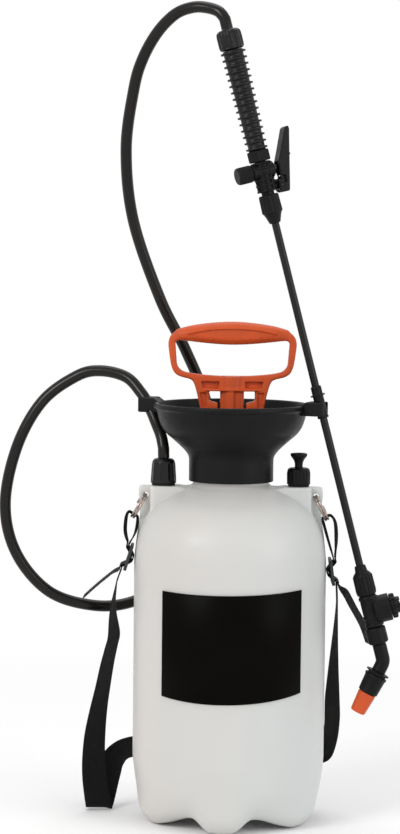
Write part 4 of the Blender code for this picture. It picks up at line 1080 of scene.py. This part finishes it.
class SPRAYER_OT_handle(bpy.types.Operator):
    """Pump handle: one moulding of an arched grip, a loop, shoulders, a grooved stem and two hooked legs"""

    bl_idname = "sprayer.handle"
    bl_label = "Pump handle"

    def execute(self, context):
        shape = moulded(self.field, (-62, -13, 371), (62, 13, 475.5), step=0.7)
        piece("handle_moulding", [shape], "pump_handle", "orange_plastic", ["pump_handle"], MOULDED_SHARP)
        return {"FINISHED"}

    def plate(self, x, z):
        """Field of the plate's outline in x and z, less the opening of its loop. Both are mirrored in x."""
        half = (
            (0, 472.5), (40, 469.5), (54, 465.3), (59.2, 460.5), (60.8, 454.5), (59.8, 445), (57.8, 432.5),
            (55, 426.3), (51.5, 423.6), (47.3, 422), (41, 420.7), (37.3, 418.9), (35, 413.6), (32.6, 404.6),
            (30.2, 393.3), (29.8, 388), (29.8, 372), (19.2, 372), (19.2, 377), (24.4, 377), (24.4, 391.5),
            (13.4, 391.5), (13.4, 397.5), (21.5, 399.8), (21.5, 409), (11, 409), (11, 388),
        )
        side = [(-px, pz) for px, pz in half[::-1] if px]
        edge = (6, 9, 5, 4, 5, 9, 8, 4, 4, 4, 4, 4, 5, 8, 8, 4, 1, 1, 1, 1.5, 2, 1, 1, 1.5, 1, 0.5, 0.5)
        outer = soften(list(half) + side, edge + edge[:0:-1], True, 3)
        hole = (
            (0, 453.6), (24.4, 455.2), (47.5, 457.9), (51.5, 457.8), (54, 455), (52.2, 432.4),
            (47.5, 427.4), (41, 425.9), (33, 424.7), (18.8, 423.5), (0, 422.9),
        )
        bend = (14, 12, 3, 2.5, 2.5, 4, 4, 4, 5, 8, 12)
        opening = soften(list(hole) + [(-px, pz) for px, pz in hole[-2:0:-1]], bend + bend[-2:0:-1], True)
        return np.maximum(outline_field(x, z, outer), -outline_field(x, z, opening))

    def recess(self, x, y, z):
        """Field of what is sunk: panels below the loop, ledges on the legs and the stem's grooves."""
        field = np.maximum(np.maximum(np.abs(x * np.sign(-y) - 3.9) - 2.5, 8.2 - np.abs(y)), z - 409.2)
        for corners, depth in (
            (((12.2, 418.2), (29.4, 418.2), (28.2, 412.3), (12.2, 412.3)), 2.4),
            (((23.8, 407.6), (30.6, 407.6), (28, 393), (23.8, 393)), 4.6),
        ):
            outline = outline_field(np.abs(x), z, soften(corners, 0.8, True))
            field = np.minimum(field, np.maximum(outline, depth - np.abs(y)))
        return field

    def field(self, x, y, z):
        """Field of the moulding: a rounded plate, an oval grip, a stem with a cross bar, and recesses."""
        body = slab_field(self.plate(x, z), y, 7.0, 2.2)
        share = np.clip(np.abs(x) / 52.0, 0, 1)
        middle, height = 464.1 - 1.9 * share**3, 10.3 - 6.3 * share**1.9
        depth = 12.0 * (0.52 + 0.48 * np.sqrt(np.maximum(1 - share**5, 0)))
        oval = (np.abs(y / depth) ** 2.4 + np.abs((z - middle) / height) ** 2.4) ** (1 / 2.4)
        grip = np.maximum((oval - 1) * np.minimum(depth, height) * 0.9, np.abs(x) - 52)
        body = melt(body, grip, 4.0)
        body = melt(body, rod_field(x, y, z, 11.2, 387.6, 423.0, 0.8), 1.0)
        bar = soften(((-29, 0), (-28, -6.6), (-14, -11.6), (14, -11.6), (28, -6.6), (29, 0)), 2.0, True)
        body = melt(body, slab_field(outline_field(x, -np.abs(y), bar), z - 410.4, 1.2, 0.6), 0.8)
        lens = soften((
            (-43.5, 462.2), (-24, 466.8), (0, 468.2), (24, 466.8), (43.5, 462.2), (24, 459.5), (0, 458.5),
            (-24, 459.5),
        ), (0.5, 12, 12, 12, 0.5, 12, 12, 12), True)
        body = carve_out(body, np.maximum(outline_field(x, z, lens), 9.2 - np.abs(y)), 0.9)
        body = carve_out(body, self.recess(x, y, z), 0.6)
        return np.maximum(body, -rod_field(x, y, z, 6.4, 380, 414.5, 0.2))


class SPRAYER_OT_fittings(bpy.types.Operator):
    """Hose outlet nut and pressure relief valve on the two bosses"""

    bl_idname = "sprayer.fittings"
    bl_label = "Tank fittings"

    def execute(self, context):
        nut = (
            (5.1, 344.6), (7.8, 344.6), (10.2, 343), (11.1, 340), (12.1, 324), (12.1, 321.3), (11.4, 321.3),
            (11.4, 326.4), (5.1, 326.4),
        )
        radii = (0.4, 0.8, 1.6, 1.5, 1, 0.5, 0.3, 0.5, 0.3)
        lathe("outlet_nut_body", "outlet_nut", nut, radii, upright(-BOSS_X), 144, "tank", steps=5,
              carve=flutes(10, 0.7, 322.6, 341.6, fade=2.0), look="black_gloss")
        body = (
            (4.2, 337), (8.4, 337), (10.4, 335.6), (11.1, 332), (11.1, 321.3), (6, 321.3), (6, 297),
            (2.2, 297), (2.2, 323), (7.5, 323), (7.5, 335.2), (4.2, 335.2),
        )
        radii = (0.4, 1.2, 1.6, 1, 0.5) + (0.3,) * 7
        lathe("relief_housing", "relief_body", body, radii, upright(BOSS_X), 144, "tank", steps=5,
              carve=flutes(18, 0.7, 322.4, 334.0, fade=1.2))
        knob = (
            (0.3, 349.4), (4.6, 349.6), (6.6, 350.9), (8.1, 350.2), (7.9, 348.2), (5.2, 344.8),
            (3.8, 341.5), (3.8, 325.6), (6, 325.6), (6, 324), (0.3, 324),
        )
        radii = (0, 0.8, 0.8, 0.8, 1.2, 2.5, 2.5, 0.3, 0.3, 0.3, 0)
        lathe("relief_pull", "relief_knob", knob, radii, upright(BOSS_X), 72, "relief_knob", closed=False,
              steps=5)
        return {"FINISHED"}


class SPRAYER_OT_grip(bpy.types.Operator):
    """Hand grip: fluted hose nut, a tapered core with a row of fins, and the ribbed collar below"""

    bl_idname = "sprayer.grip"
    bl_label = "Hand grip"

    def execute(self, context):
        nut = (
            (5.1, 360.8), (8.2, 360.8), (11.3, 358.6), (11.8, 355.4), (11.8, 345), (11.2, 342.4),
            (9.2, 341.6), (5.1, 341.6),
        )
        lathe("hose_nut_body", "hose_nut", nut, (0.4, 1.2, 2, 2, 2, 1.2, 0.6, 0.4), LANCE, 120, steps=5,
              carve=flutes(8, 1.3, 342.4, 360.0, 2.2, 2.0), look="black_gloss")
        share = np.linspace(0, 1, FIN_COUNT)
        core, fin = 9.4 - 1.3 * share, 11.9 - 1.6 * share
        start = 340.2 - FIN_PITCH * np.arange(FIN_COUNT)
        half = (core, core + 0.4, fin - 0.2, fin)
        reach = np.stack((*half, *half[::-1], core - 0.2), axis=1)
        level = start[:, None] - np.array((0.0, 0.4, 0.5, 0.9, 1.9, 2.3, 2.4, 2.8, 4.4))
        rows = np.column_stack((reach.ravel(), level.ravel()))
        top, foot = ((0.3, 356), (4.6, 356), (4.6, 341), (9.5, 341)), ((8.2, 245.8), (0.3, 245.8))
        fins = turned(np.vstack((top, rows, foot)), LANCE, 80, closed=False)
        piece("grip_core", [fins], "lance", "black_plastic", ["grip"], GRIP_SHARP,
              look="black_gloss")
        collar = ((5.6, 245.4), (9.6, 245.4), (10.2, 244.5), (10.2, 236), (9.6, 235), (5.6, 235))
        lathe("collar_ribbed", "grip_collar", collar, 0.6, LANCE, 160,
              carve=flutes(28, 0.45, 235.6, 244.8, fade=0.8))
        return {"FINISHED"}


class SPRAYER_OT_trigger(bpy.types.Operator):
    """Trigger valve: latticed body, fluted spring cap, stem, pin and the lever"""

    bl_idname = "sprayer.trigger"
    bl_label = "Trigger valve"

    def execute(self, context):
        line = across(VALVE, "X")
        body = moulded(self.body, (-12, -10.5, 195), (19, 10.5, 246), step=0.5, place=TRIGGER)
        piece("valve_housing", [body], "lance", "black_plastic", ["valve_body"], MOULDED_SHARP)
        cap = soften((
            (6.2, -11.4), (7.4, -11.4), (8.1, -12.4), (8.1, -24.4), (7.4, -26), (2, -26), (2, -24),
            (6.2, -24),
        ), (0.3, 0.5, 0.5, 0.9, 1.0, 0.3, 0.3, 0.3), True)
        shell = turned(cap, line, 160, carve=flutes(28, 0.5, -25.0, -12.4, fade=0.8))
        face = soften(((0.2, -25.9), (3.0, -25.9), (3.0, -24.6), (0.2, -24.6)), 0.2)
        disc = turned(face, line, 40, closed=False)
        piece("spring_cap", [shell, disc], "lance", "black_plastic", ["valve_cap"])
        stem = ((0.2, 18.3), (3, 18.3), (3, -11.6), (5, -11.6), (5, -13.4), (0.2, -13.4))
        # The stem is near-black steel: painted shade where it shows in the lever's pocket.
        lathe("valve_stem_bar", "valve_stem", stem, 0.5, line, 40, "valve_stem", "nickel_steel",
              closed=False, look="dark_steel")
        pivot = (on(TRIGGER, (PIVOT[0], 0, PIVOT[1])), TRIGGER[1])
        # The pin is drawn in the black gloss finish: painted shade where its ends sit in the lever's pocket.
        pin = ((0.2, -6.9), (1.6, -6.9), (1.6, 6.9), (0.2, 6.9))
        lathe("pivot_pin", "trigger_pin", pin, 0.4, across(pivot, "Y"), 32, slot="nickel_steel",
              closed=False, look="black_gloss")
        lever = moulded(self.lever, (9, -7, 201), (35, 7, 263), step=0.45, place=TRIGGER)
        piece("lever_moulding", [lever], "trigger", "black_plastic", ["trigger_lever"], MOULDED_SHARP)
        return {"FINISHED"}

    def body(self, x, y, z):
        """Field of the housing: an upright and a cross cylinder, a pivot lug, and ribs in a lattice."""
        column = rod_field(x, y, z, 7.3, 206, 234.6, 0.6)
        cross = rod_field(y, z - VALVE_S, x, 7.6, -11, 10.5, 0.7)
        field = melt(column, cross, 2.0)
        field = np.minimum(field, rod_field(x, y, z, 5.2, 230, 244.9, 0.4))
        field = np.minimum(field, rod_field(x, y, z, 6.0, 196.4, 208, 0.4))
        reach, angle = np.sqrt(x * x + y * y), np.arctan2(y, x)
        for low in (206.3, 211.6, 216.9, 222.2, 227.5, 232.4):
            field = np.minimum(field, rod_field(x, y, z, 9.5, low, low + 1.9, 0.5))
        rib = np.abs((angle * 3 / math.pi + 0.5) % 1 - 0.5) * math.pi / 3 * reach - 0.9
        bars = np.maximum(np.maximum(rib, reach - 9.3), np.maximum(206.5 - z, z - 234.2))
        field = np.minimum(field, bars)
        lug = ((4, 206.3), (10.4, 206.3), (12.4, 204.4), (17.5, 204.6), (17.5, 214), (4, 217))
        lug_flat = outline_field(x, z, soften(lug, 2.5, True))
        field = melt(field, slab_field(lug_flat, y, 3.0, 0.7), 1.0)
        hole = np.sqrt((x - PIVOT[0]) ** 2 + (z - PIVOT[1]) ** 2) - 2.0
        return np.maximum(field, -hole)

    def lever(self, x, y, z):
        """Field of the lever: a thick outline and a nub, less room for stem and lug, eye and two slots."""
        outline = soften((
            (10.2, 205.5), (12.5, 202.6), (20, 202.2), (21.2, 207), (25.6, 225), (30, 243), (34, 259),
            (33, 261.8), (29.6, 260.5), (21.4, 243), (15, 230), (14.8, 222), (16, 216), (11.4, 214.2),
        ), 1.8, True)
        field = slab_field(outline_field(x, z, outline), y, 6.8, 1.0)
        lug = ((4, 198), (18.2, 198), (18.2, 219), (4, 219))
        gap = np.maximum(outline_field(x, z, lug), np.abs(y) - 3.5)
        room = np.maximum(np.maximum(x - 18.9, np.abs(z - 224.5) - 7.0), np.abs(y) - 4.4)
        field = carve_out(field, np.minimum(gap, room), 0.5)
        field = np.minimum(field, rod_field(x - 29.6, z - 236.0, y, 1.3, -1.6, 1.6, 0.4))
        px, pz = x - PIVOT[0], z - PIVOT[1]
        eye = np.sqrt(px * px + pz * pz) - 1.8
        slot_x, slot_z = px - 4.0, np.maximum(np.abs(pz - 5.2) - 2.2, 0)
        slot = np.maximum(np.sqrt(slot_x * slot_x + slot_z * slot_z) - 1.4, 4.6 - np.abs(y))
        return carve_out(field, np.minimum(eye, slot), 0.4)


class SPRAYER_OT_lance(bpy.types.Operator):
    """Lance: two fluted nuts with cones, the straight tube and the clip sleeve"""

    bl_idname = "sprayer.lance"
    bl_label = "Lance"

    def execute(self, context):
        upper = (
            (6.5, 203.3), (8.6, 203.3), (9.4, 202.1), (9.8, 187), (8.6, 185.4), (7.6, 183.5), (5.2, 176.4),
            (4, 176), (4, 189.8), (6.5, 189.8),
        )
        radii = (0.3, 0.5, 0.6, 0.6, 0.6, 1.5, 0.6, 0.3, 0.3, 0.3)
        lathe("upper_nut", "lance_nut_upper", upper, radii, LANCE, 144, carve=flutes(16, 0.8, 186.4, 202.6))
        pipe = ((3.6, 196), (3.6, -172), (2.4, -172), (2.4, 196))
        lathe("lance_pipe", "lance_tube", pipe, 0.3, LANCE, 48, look="black_gloss")
        sleeve = (
            (3.9, 19), (4.6, 19), (5, 18), (5, 11.3), (6.9, 11), (6.9, 9.8), (5, 9.5), (5, -9.6),
            (5.3, -10), (5.3, -11.2), (5, -11.6), (3.9, -11.6),
        )
        lathe("clip_sleeve", "lance_clip", sleeve, 0.3, LANCE, 64)
        lower = (
            (4, -155), (5.2, -155), (5.9, -160.8), (7.6, -162.4), (9.4, -165), (9.6, -180), (8.9, -183),
            (6.5, -183.2), (6.5, -168), (4, -168),
        )
        radii = (0.3, 0.6, 1.5, 0.6, 0.6, 0.8, 0.5, 0.3, 0.3, 0.3)
        lathe("lower_nut", "lance_nut_lower", lower, radii, LANCE, 144,
              carve=flutes(16, 0.8, -181.4, -164.2))
        return {"FINISHED"}


class SPRAYER_OT_regulator(bpy.types.Operator):
    """Flow regulator: body with a wide drum, star knob and the swivel collar"""

    bl_idname = "sprayer.regulator"
    bl_label = "Flow regulator"

    def execute(self, context):
        body = moulded(self.body, (-10, -14, -24), (20, 14, 28), step=0.5, place=REGULATOR)
        piece("regulator_housing", [body], "lance", "black_plastic", ["regulator_body"], MOULDED_SHARP)
        knob = (
            (3.4, 19.1), (11.2, 19.1), (11.8, 19.9), (11.8, 23.2), (11, 24.2), (8, 24.2), (7.4, 28.4),
            (2, 28.4), (2, 21.2), (3.4, 21.2),
        )
        lathe("regulator_dial", "regulator_knob", knob, 0.5, across(REGULATOR, "X"), 180, "regulator_knob",
              carve=self.notch)
        collar = ((6.2, -214.8), (8.6, -214.8), (9.5, -216), (9.6, -229), (8.8, -230.5), (6.2, -230.5))
        lathe("swivel_ring", "swivel_collar", collar, 0.8, LANCE, 96)
        return {"FINISHED"}

    def body(self, x, y, z):
        """Field of the housing: a stepped cylinder with a wide drum across it, and the drum's bore."""
        field = rod_field(x, y, z, 8.2, -15.0, 15.4, 0.8)
        for low in (-14.6, -7.0, 11.2):
            field = np.minimum(field, rod_field(x, y, z, 8.9, low, low + 2.6, 0.5))
        field = np.minimum(field, rod_field(x, y, z, 6.0, 10, 26.2, 0.4))
        field = np.minimum(field, rod_field(x, y, z, 5.5, -22.0, -10, 0.4))
        field = melt(field, rod_field(y, z, x, 13.0, 3.5, 18.6, 0.8), 1.2)
        bore = np.maximum(np.sqrt(y * y + z * z) - 5.3, -6 - x)
        return np.maximum(field, -bore)

    def notch(self, radius, height, angle):
        """Knob carving: twelve square-topped gaps round the ring, and six notches that make a star."""
        rim = smooth_step((radius - 10.4) / 0.5) * smooth_step((height - 19.3) / 0.5)
        rim = rim * smooth_step((24.0 - height) / 0.5)
        radius = radius - 1.0 * rim * smooth_step(2.2 * np.cos(12 * angle) + 0.5)
        side = np.abs((angle * 3 / math.pi + 0.5) % 1 - 0.5) * math.pi / 3 * radius
        sink = smooth_step((1.7 - side) / 0.5) * (radius < 8.4) * (height > 25)
        return radius, height - sink * (height - 25)


class SPRAYER_OT_nozzle(bpy.types.Operator):
    """Spray elbow with its flange, the fluted cap and the orange tip"""

    bl_idname = "sprayer.nozzle"
    bl_label = "Nozzle"

    def execute(self, context):
        flange = ((5.0, -11), (10.6, -11), (11.4, -11.3), (11.4, -12.3), (10.6, -12.6), (5.0, -12.6))
        disc = turned(soften(flange, 0.5, True), NOZZLE, 96)
        piece("elbow_tube", [self.elbow(), disc], "lance", "black_plastic", ["spray_elbow"])
        cap = (
            (6.3, -14.6), (10.5, -14.6), (10.9, -15.2), (10.9, -16.8), (10.2, -17.4), (9.5, -32.2),
            (8.8, -33), (6.3, -33),
        )
        lathe("nozzle_cap_body", "nozzle_cap", cap, 0.5, NOZZLE, 144,
              carve=flutes(18, 0.3, -32.0, -18.0, fade=0.8))
        tip = (
            (6.3, -33.4), (8.2, -33.4), (8.6, -34.4), (8.5, -36), (7.3, -52.4), (6.6, -53.8), (2.6, -53.8),
            (1, -52.6), (1, -51), (6.3, -48.6),
        )
        lathe("spray_tip", "nozzle_tip", tip, 0.6, NOZZLE, 144, "nozzle_tip", "orange_plastic",
              carve=flutes(16, 0.4, -52.4, -36.4))
        return {"FINISHED"}

    def elbow(self):
        """Patch of the bent tube: a straight, an arc and a straight, wider at the bend than at its ends."""
        bend = math.radians(ELBOW_TURN)
        setback = ELBOW_BEND_R * math.tan(bend / 2)
        turn = np.linspace(0, bend, 20)
        arc = np.stack((
            ELBOW_BEND_R * (np.cos(turn) - 1), 0 * turn, ELBOW_S + setback - ELBOW_BEND_R * np.sin(turn),
        ), axis=1)
        line = np.linspace(0, 1, 8)[:, None]
        start = np.array((0, 0, ELBOW_S + ELBOW_RISE))
        top = start + line * (arc[0] - start)
        end = np.array((-ELBOW_REACH * math.sin(bend), 0, ELBOW_S - ELBOW_REACH * math.cos(bend)))
        tail = arc[-1] + line * (end - arc[-1])
        path = resample(on(LANCE, np.vstack((top[:-1], arc, tail[1:]))), 90)
        run = run_along(path)
        wide = 5.8 + 0.8 * smooth_step((run - 9.4) / 1.2) * smooth_step((run[-1] - 28 - run) / 1.2)
        return swept(path, wide, 48, (0, 1, 0))


class SPRAYER_OT_rings(bpy.types.Operator):
    """Split rings: wire carried along two turns of a helix, hung in the ears and leaning out"""

    bl_idname = "sprayer.rings"
    bl_label = "Split rings"

    def execute(self, context):
        wire = context.scene.sprayer_sizes.ring_wire / MM / 2
        for name, (side, lean_x, lean_z) in RING_LEANS.items():
            out = np.array((lean_x, 0, lean_z)) / math.hypot(lean_x, lean_z)
            pole = np.cross(out, (0, 1, 0))
            centre = np.array((RING_HOLE[0] * side, 0, RING_HOLE[1])) + out * (RING_R - 0.3)
            t = np.linspace(0, 1, 145)
            angle = 4 * math.pi * t
            turn = (-RING_R * np.sin(angle), RING_R * np.cos(angle), RING_PITCH * (2 * t - 1))
            coil = np.stack(turn, axis=1)
            path = centre + coil @ np.stack((out, (0, 1, 0), pole))
            piece(name + "_wire", [swept(path, wire, 16, pole)], "tank", "nickel_steel", [name])
        return {"FINISHED"}


class SPRAYER_OT_springs(bpy.types.Operator):
    """Springs of the relief and trigger valves: wire along a helix"""

    bl_idname = "sprayer.springs"
    bl_label = "Valve springs"

    def execute(self, context):
        self.wind("relief_spring", upright(BOSS_X), 5.3, (326.8, 334.4), 335.2, "tank", "relief_pull", 0.6)
        line = across(VALVE, "X")
        self.wind("valve_spring", line, 4.4, (-23.2, -14.6), -24.0, "lance", "valve_lift", 0.69)
        return {"FINISHED"}

    def wind(self, name, place, radius, ends, seat, body, joint, keep):
        """One spring round a place's local Z between two heights. Its joint and seat are not used."""
        t = np.linspace(0, 1, 36 * SPRING_TURNS + 1)
        rise = ends[0] + (ends[1] - ends[0]) * t
        path = on(place, round_axis(radius, rise, 2 * SPRING_TURNS * math.pi * t))
        pole = place[1][:, 2]
        made = piece(name + "_coil", [swept(path, SPRING_WIRE_R, 12, pole)], body, "nickel_steel", [name])
        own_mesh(made)


class SPRAYER_OT_buckles(bpy.types.Operator):
    """Ladder buckles: rounded frames with a middle bar between two slots"""

    bl_idname = "sprayer.buckles"
    bl_label = "Buckles"

    def execute(self, context):
        for name, ((x, z), up) in (("buckle_left", LEFT_BUCKLE), ("buckle_right", RIGHT_BUCKLE)):
            place = (np.array((x, 0, z)), turn_y(math.degrees(math.atan2(up[0], up[1]))))
            shape = moulded(self.field, (-2, -17, -12), (2, 17, 12), step=0.5, place=place)
            piece(name + "_frame", [shape], "tank", "grey_plastic", [name], MOULDED_SHARP)
        return {"FINISHED"}

    def field(self, x, y, z):
        """Field of the frame: a rounded plate less two slots."""
        field = block_field(x, y, z, (-1.5, -17, -12), (1.5, 17, 12), 0.7)
        slots = block_field(x, y, np.abs(z), (-4, -13.6, 1.6), (4, 13.6, 10.0), 0.6)
        return carve_out(field, slots, 0.8)


class SPRAYER_OT_strap(bpy.types.Operator):
    """Shoulder strap: a woven section carried along one route through both buckles and both rings"""

    bl_idname = "sprayer.strap"
    bl_label = "Shoulder strap"

    def weave(self, buckle, pairs, wide):
        """Strap rows through a buckle, from pairs along and out from its middle."""
        (x, z), up = buckle
        side = 1 if x > 0 else -1
        out = (side * up[1], -side * up[0])
        return [(x + t * up[0] + n * out[0], 0, z + t * up[1] + n * out[1], *wide, 1) for t, n in pairs]

    def route(self):
        """Rows of the whole strap: place, direction of its width, and the share of its full width."""
        rows = [(*place, *LEFT_WIDE, 1) for place in LEFT_TAIL]
        rows += self.weave(LEFT_BUCKLE, TAIL_WEAVE, LEFT_WIDE)
        rows += [(x, 0, z, lean, 1, 0, share) for x, z, lean, share in LEFT_LOOP]
        rows += self.weave(LEFT_BUCKLE, DROP_WEAVE[::-1], LEFT_WIDE)
        rows += [(*row, 1) for row in STRAP_DROP]
        rows += self.weave(RIGHT_BUCKLE, DROP_WEAVE, RIGHT_WIDE)
        rows += [(x, 0, z, lean, -1, 0, share) for x, z, lean, share in RIGHT_LOOP]
        rows += self.weave(RIGHT_BUCKLE, TAIL_WEAVE[::-1], RIGHT_WIDE)
        return rows + [(*place, *RIGHT_TAIL_WIDE, 1) for place in RIGHT_TAIL]

    def execute(self, context):
        sizes = context.scene.sprayer_sizes
        rows = smooth_path(self.route(), 5)
        middle, wide, share = rows[:, :3], rows[:, 3:6], rows[:, 6]
        ahead = unit(np.gradient(middle, axis=0))
        wide = unit(wide - ahead * np.sum(wide * ahead, axis=1)[:, None])
        up = np.cross(wide, ahead)
        u = np.linspace(-1, 1, STRAP_COLUMNS)
        section = np.concatenate((u, u[::-1]))
        face = np.repeat((1.0, -1.0), STRAP_COLUMNS)
        half, thick = sizes.strap_width / MM / 2, sizes.strap_thickness / MM / 2
        lift = thick * face * (1 - 0.6 * np.abs(section) ** 12)
        pleat = (1 - share)[:, None] * PLEAT * np.cos(3 * math.pi * section)[None]
        points = middle[:, None] + wide[:, None] * (half * share[:, None] * section[None])[..., None]
        points = points + up[:, None] * (lift[None] + pleat)[..., None]
        run = run_along(middle) * MM
        chart = np.stack(np.broadcast_arrays((section[None] + 1) / 2, run[:, None]), axis=-1).reshape(-1, 2)
        band = skin(points, capped=True)
        made = piece("strap_webbing", [band], "tank", "webbing", ["shoulder_strap"], MOULDED_SHARP, chart)
        return {"FINISHED"}


class SPRAYER_OT_inside(bpy.types.Operator):
    """Finishes on the solids that stay as they are: seals, barrel, piston and inner tubes"""

    bl_idname = "sprayer.inside"
    bl_label = "Inner parts"

    def execute(self, context):
        slots = {row["node"]: row["material_slot"] for row in frame["record"]["subparts"]}
        for name, node in NODES.items():
            if not node.hide_render:
                node.data.materials.clear()
                node.data.materials.append(finish(slots[name]))
        return {"FINISHED"}


OPERATORS = (
    SPRAYER_OT_stage, SPRAYER_OT_hose, SPRAYER_OT_tank, SPRAYER_OT_label, SPRAYER_OT_funnel, SPRAYER_OT_pump,
    SPRAYER_OT_handle, SPRAYER_OT_fittings, SPRAYER_OT_grip, SPRAYER_OT_trigger, SPRAYER_OT_lance,
    SPRAYER_OT_regulator, SPRAYER_OT_nozzle, SPRAYER_OT_rings, SPRAYER_OT_springs, SPRAYER_OT_buckles,
    SPRAYER_OT_strap, SPRAYER_OT_inside,
)


class SPRAYER_PT_panel(bpy.types.Panel):
    """Sidebar panel with the settings and one button for each group of pieces"""

    bl_idname = "SPRAYER_PT_panel"
    bl_label = "Compression sprayer"
    bl_space_type = "VIEW_3D"
    bl_region_type = "UI"
    bl_category = "Sprayer"

    def draw(self, context):
        scene = context.scene
        for group in (scene.sprayer_sizes, scene.sprayer_finish, scene.sprayer_stage):
            box = self.layout.box()
            for name in group.__annotations__:
                box.prop(group, name)
        for operator in OPERATORS:
            self.layout.operator(operator.bl_idname)


CLASSES = (SprayerFinish, SprayerSizes, SprayerStage, *OPERATORS, SPRAYER_PT_panel)


def register():
    for made in CLASSES:
        bpy.utils.register_class(made)
    bpy.types.Scene.sprayer_finish = bpy.props.PointerProperty(type=SprayerFinish)
    bpy.types.Scene.sprayer_sizes = bpy.props.PointerProperty(type=SprayerSizes)
    bpy.types.Scene.sprayer_stage = bpy.props.PointerProperty(type=SprayerStage)


def unregister():
    del bpy.types.Scene.sprayer_stage
    del bpy.types.Scene.sprayer_sizes
    del bpy.types.Scene.sprayer_finish
    for made in reversed(CLASSES):
        bpy.utils.unregister_class(made)


def main():
    register()
    for operator in OPERATORS:
        group, name = operator.bl_idname.split(".")
        getattr(getattr(bpy.ops, group), name)()


if __name__ == "__main__":
    main()
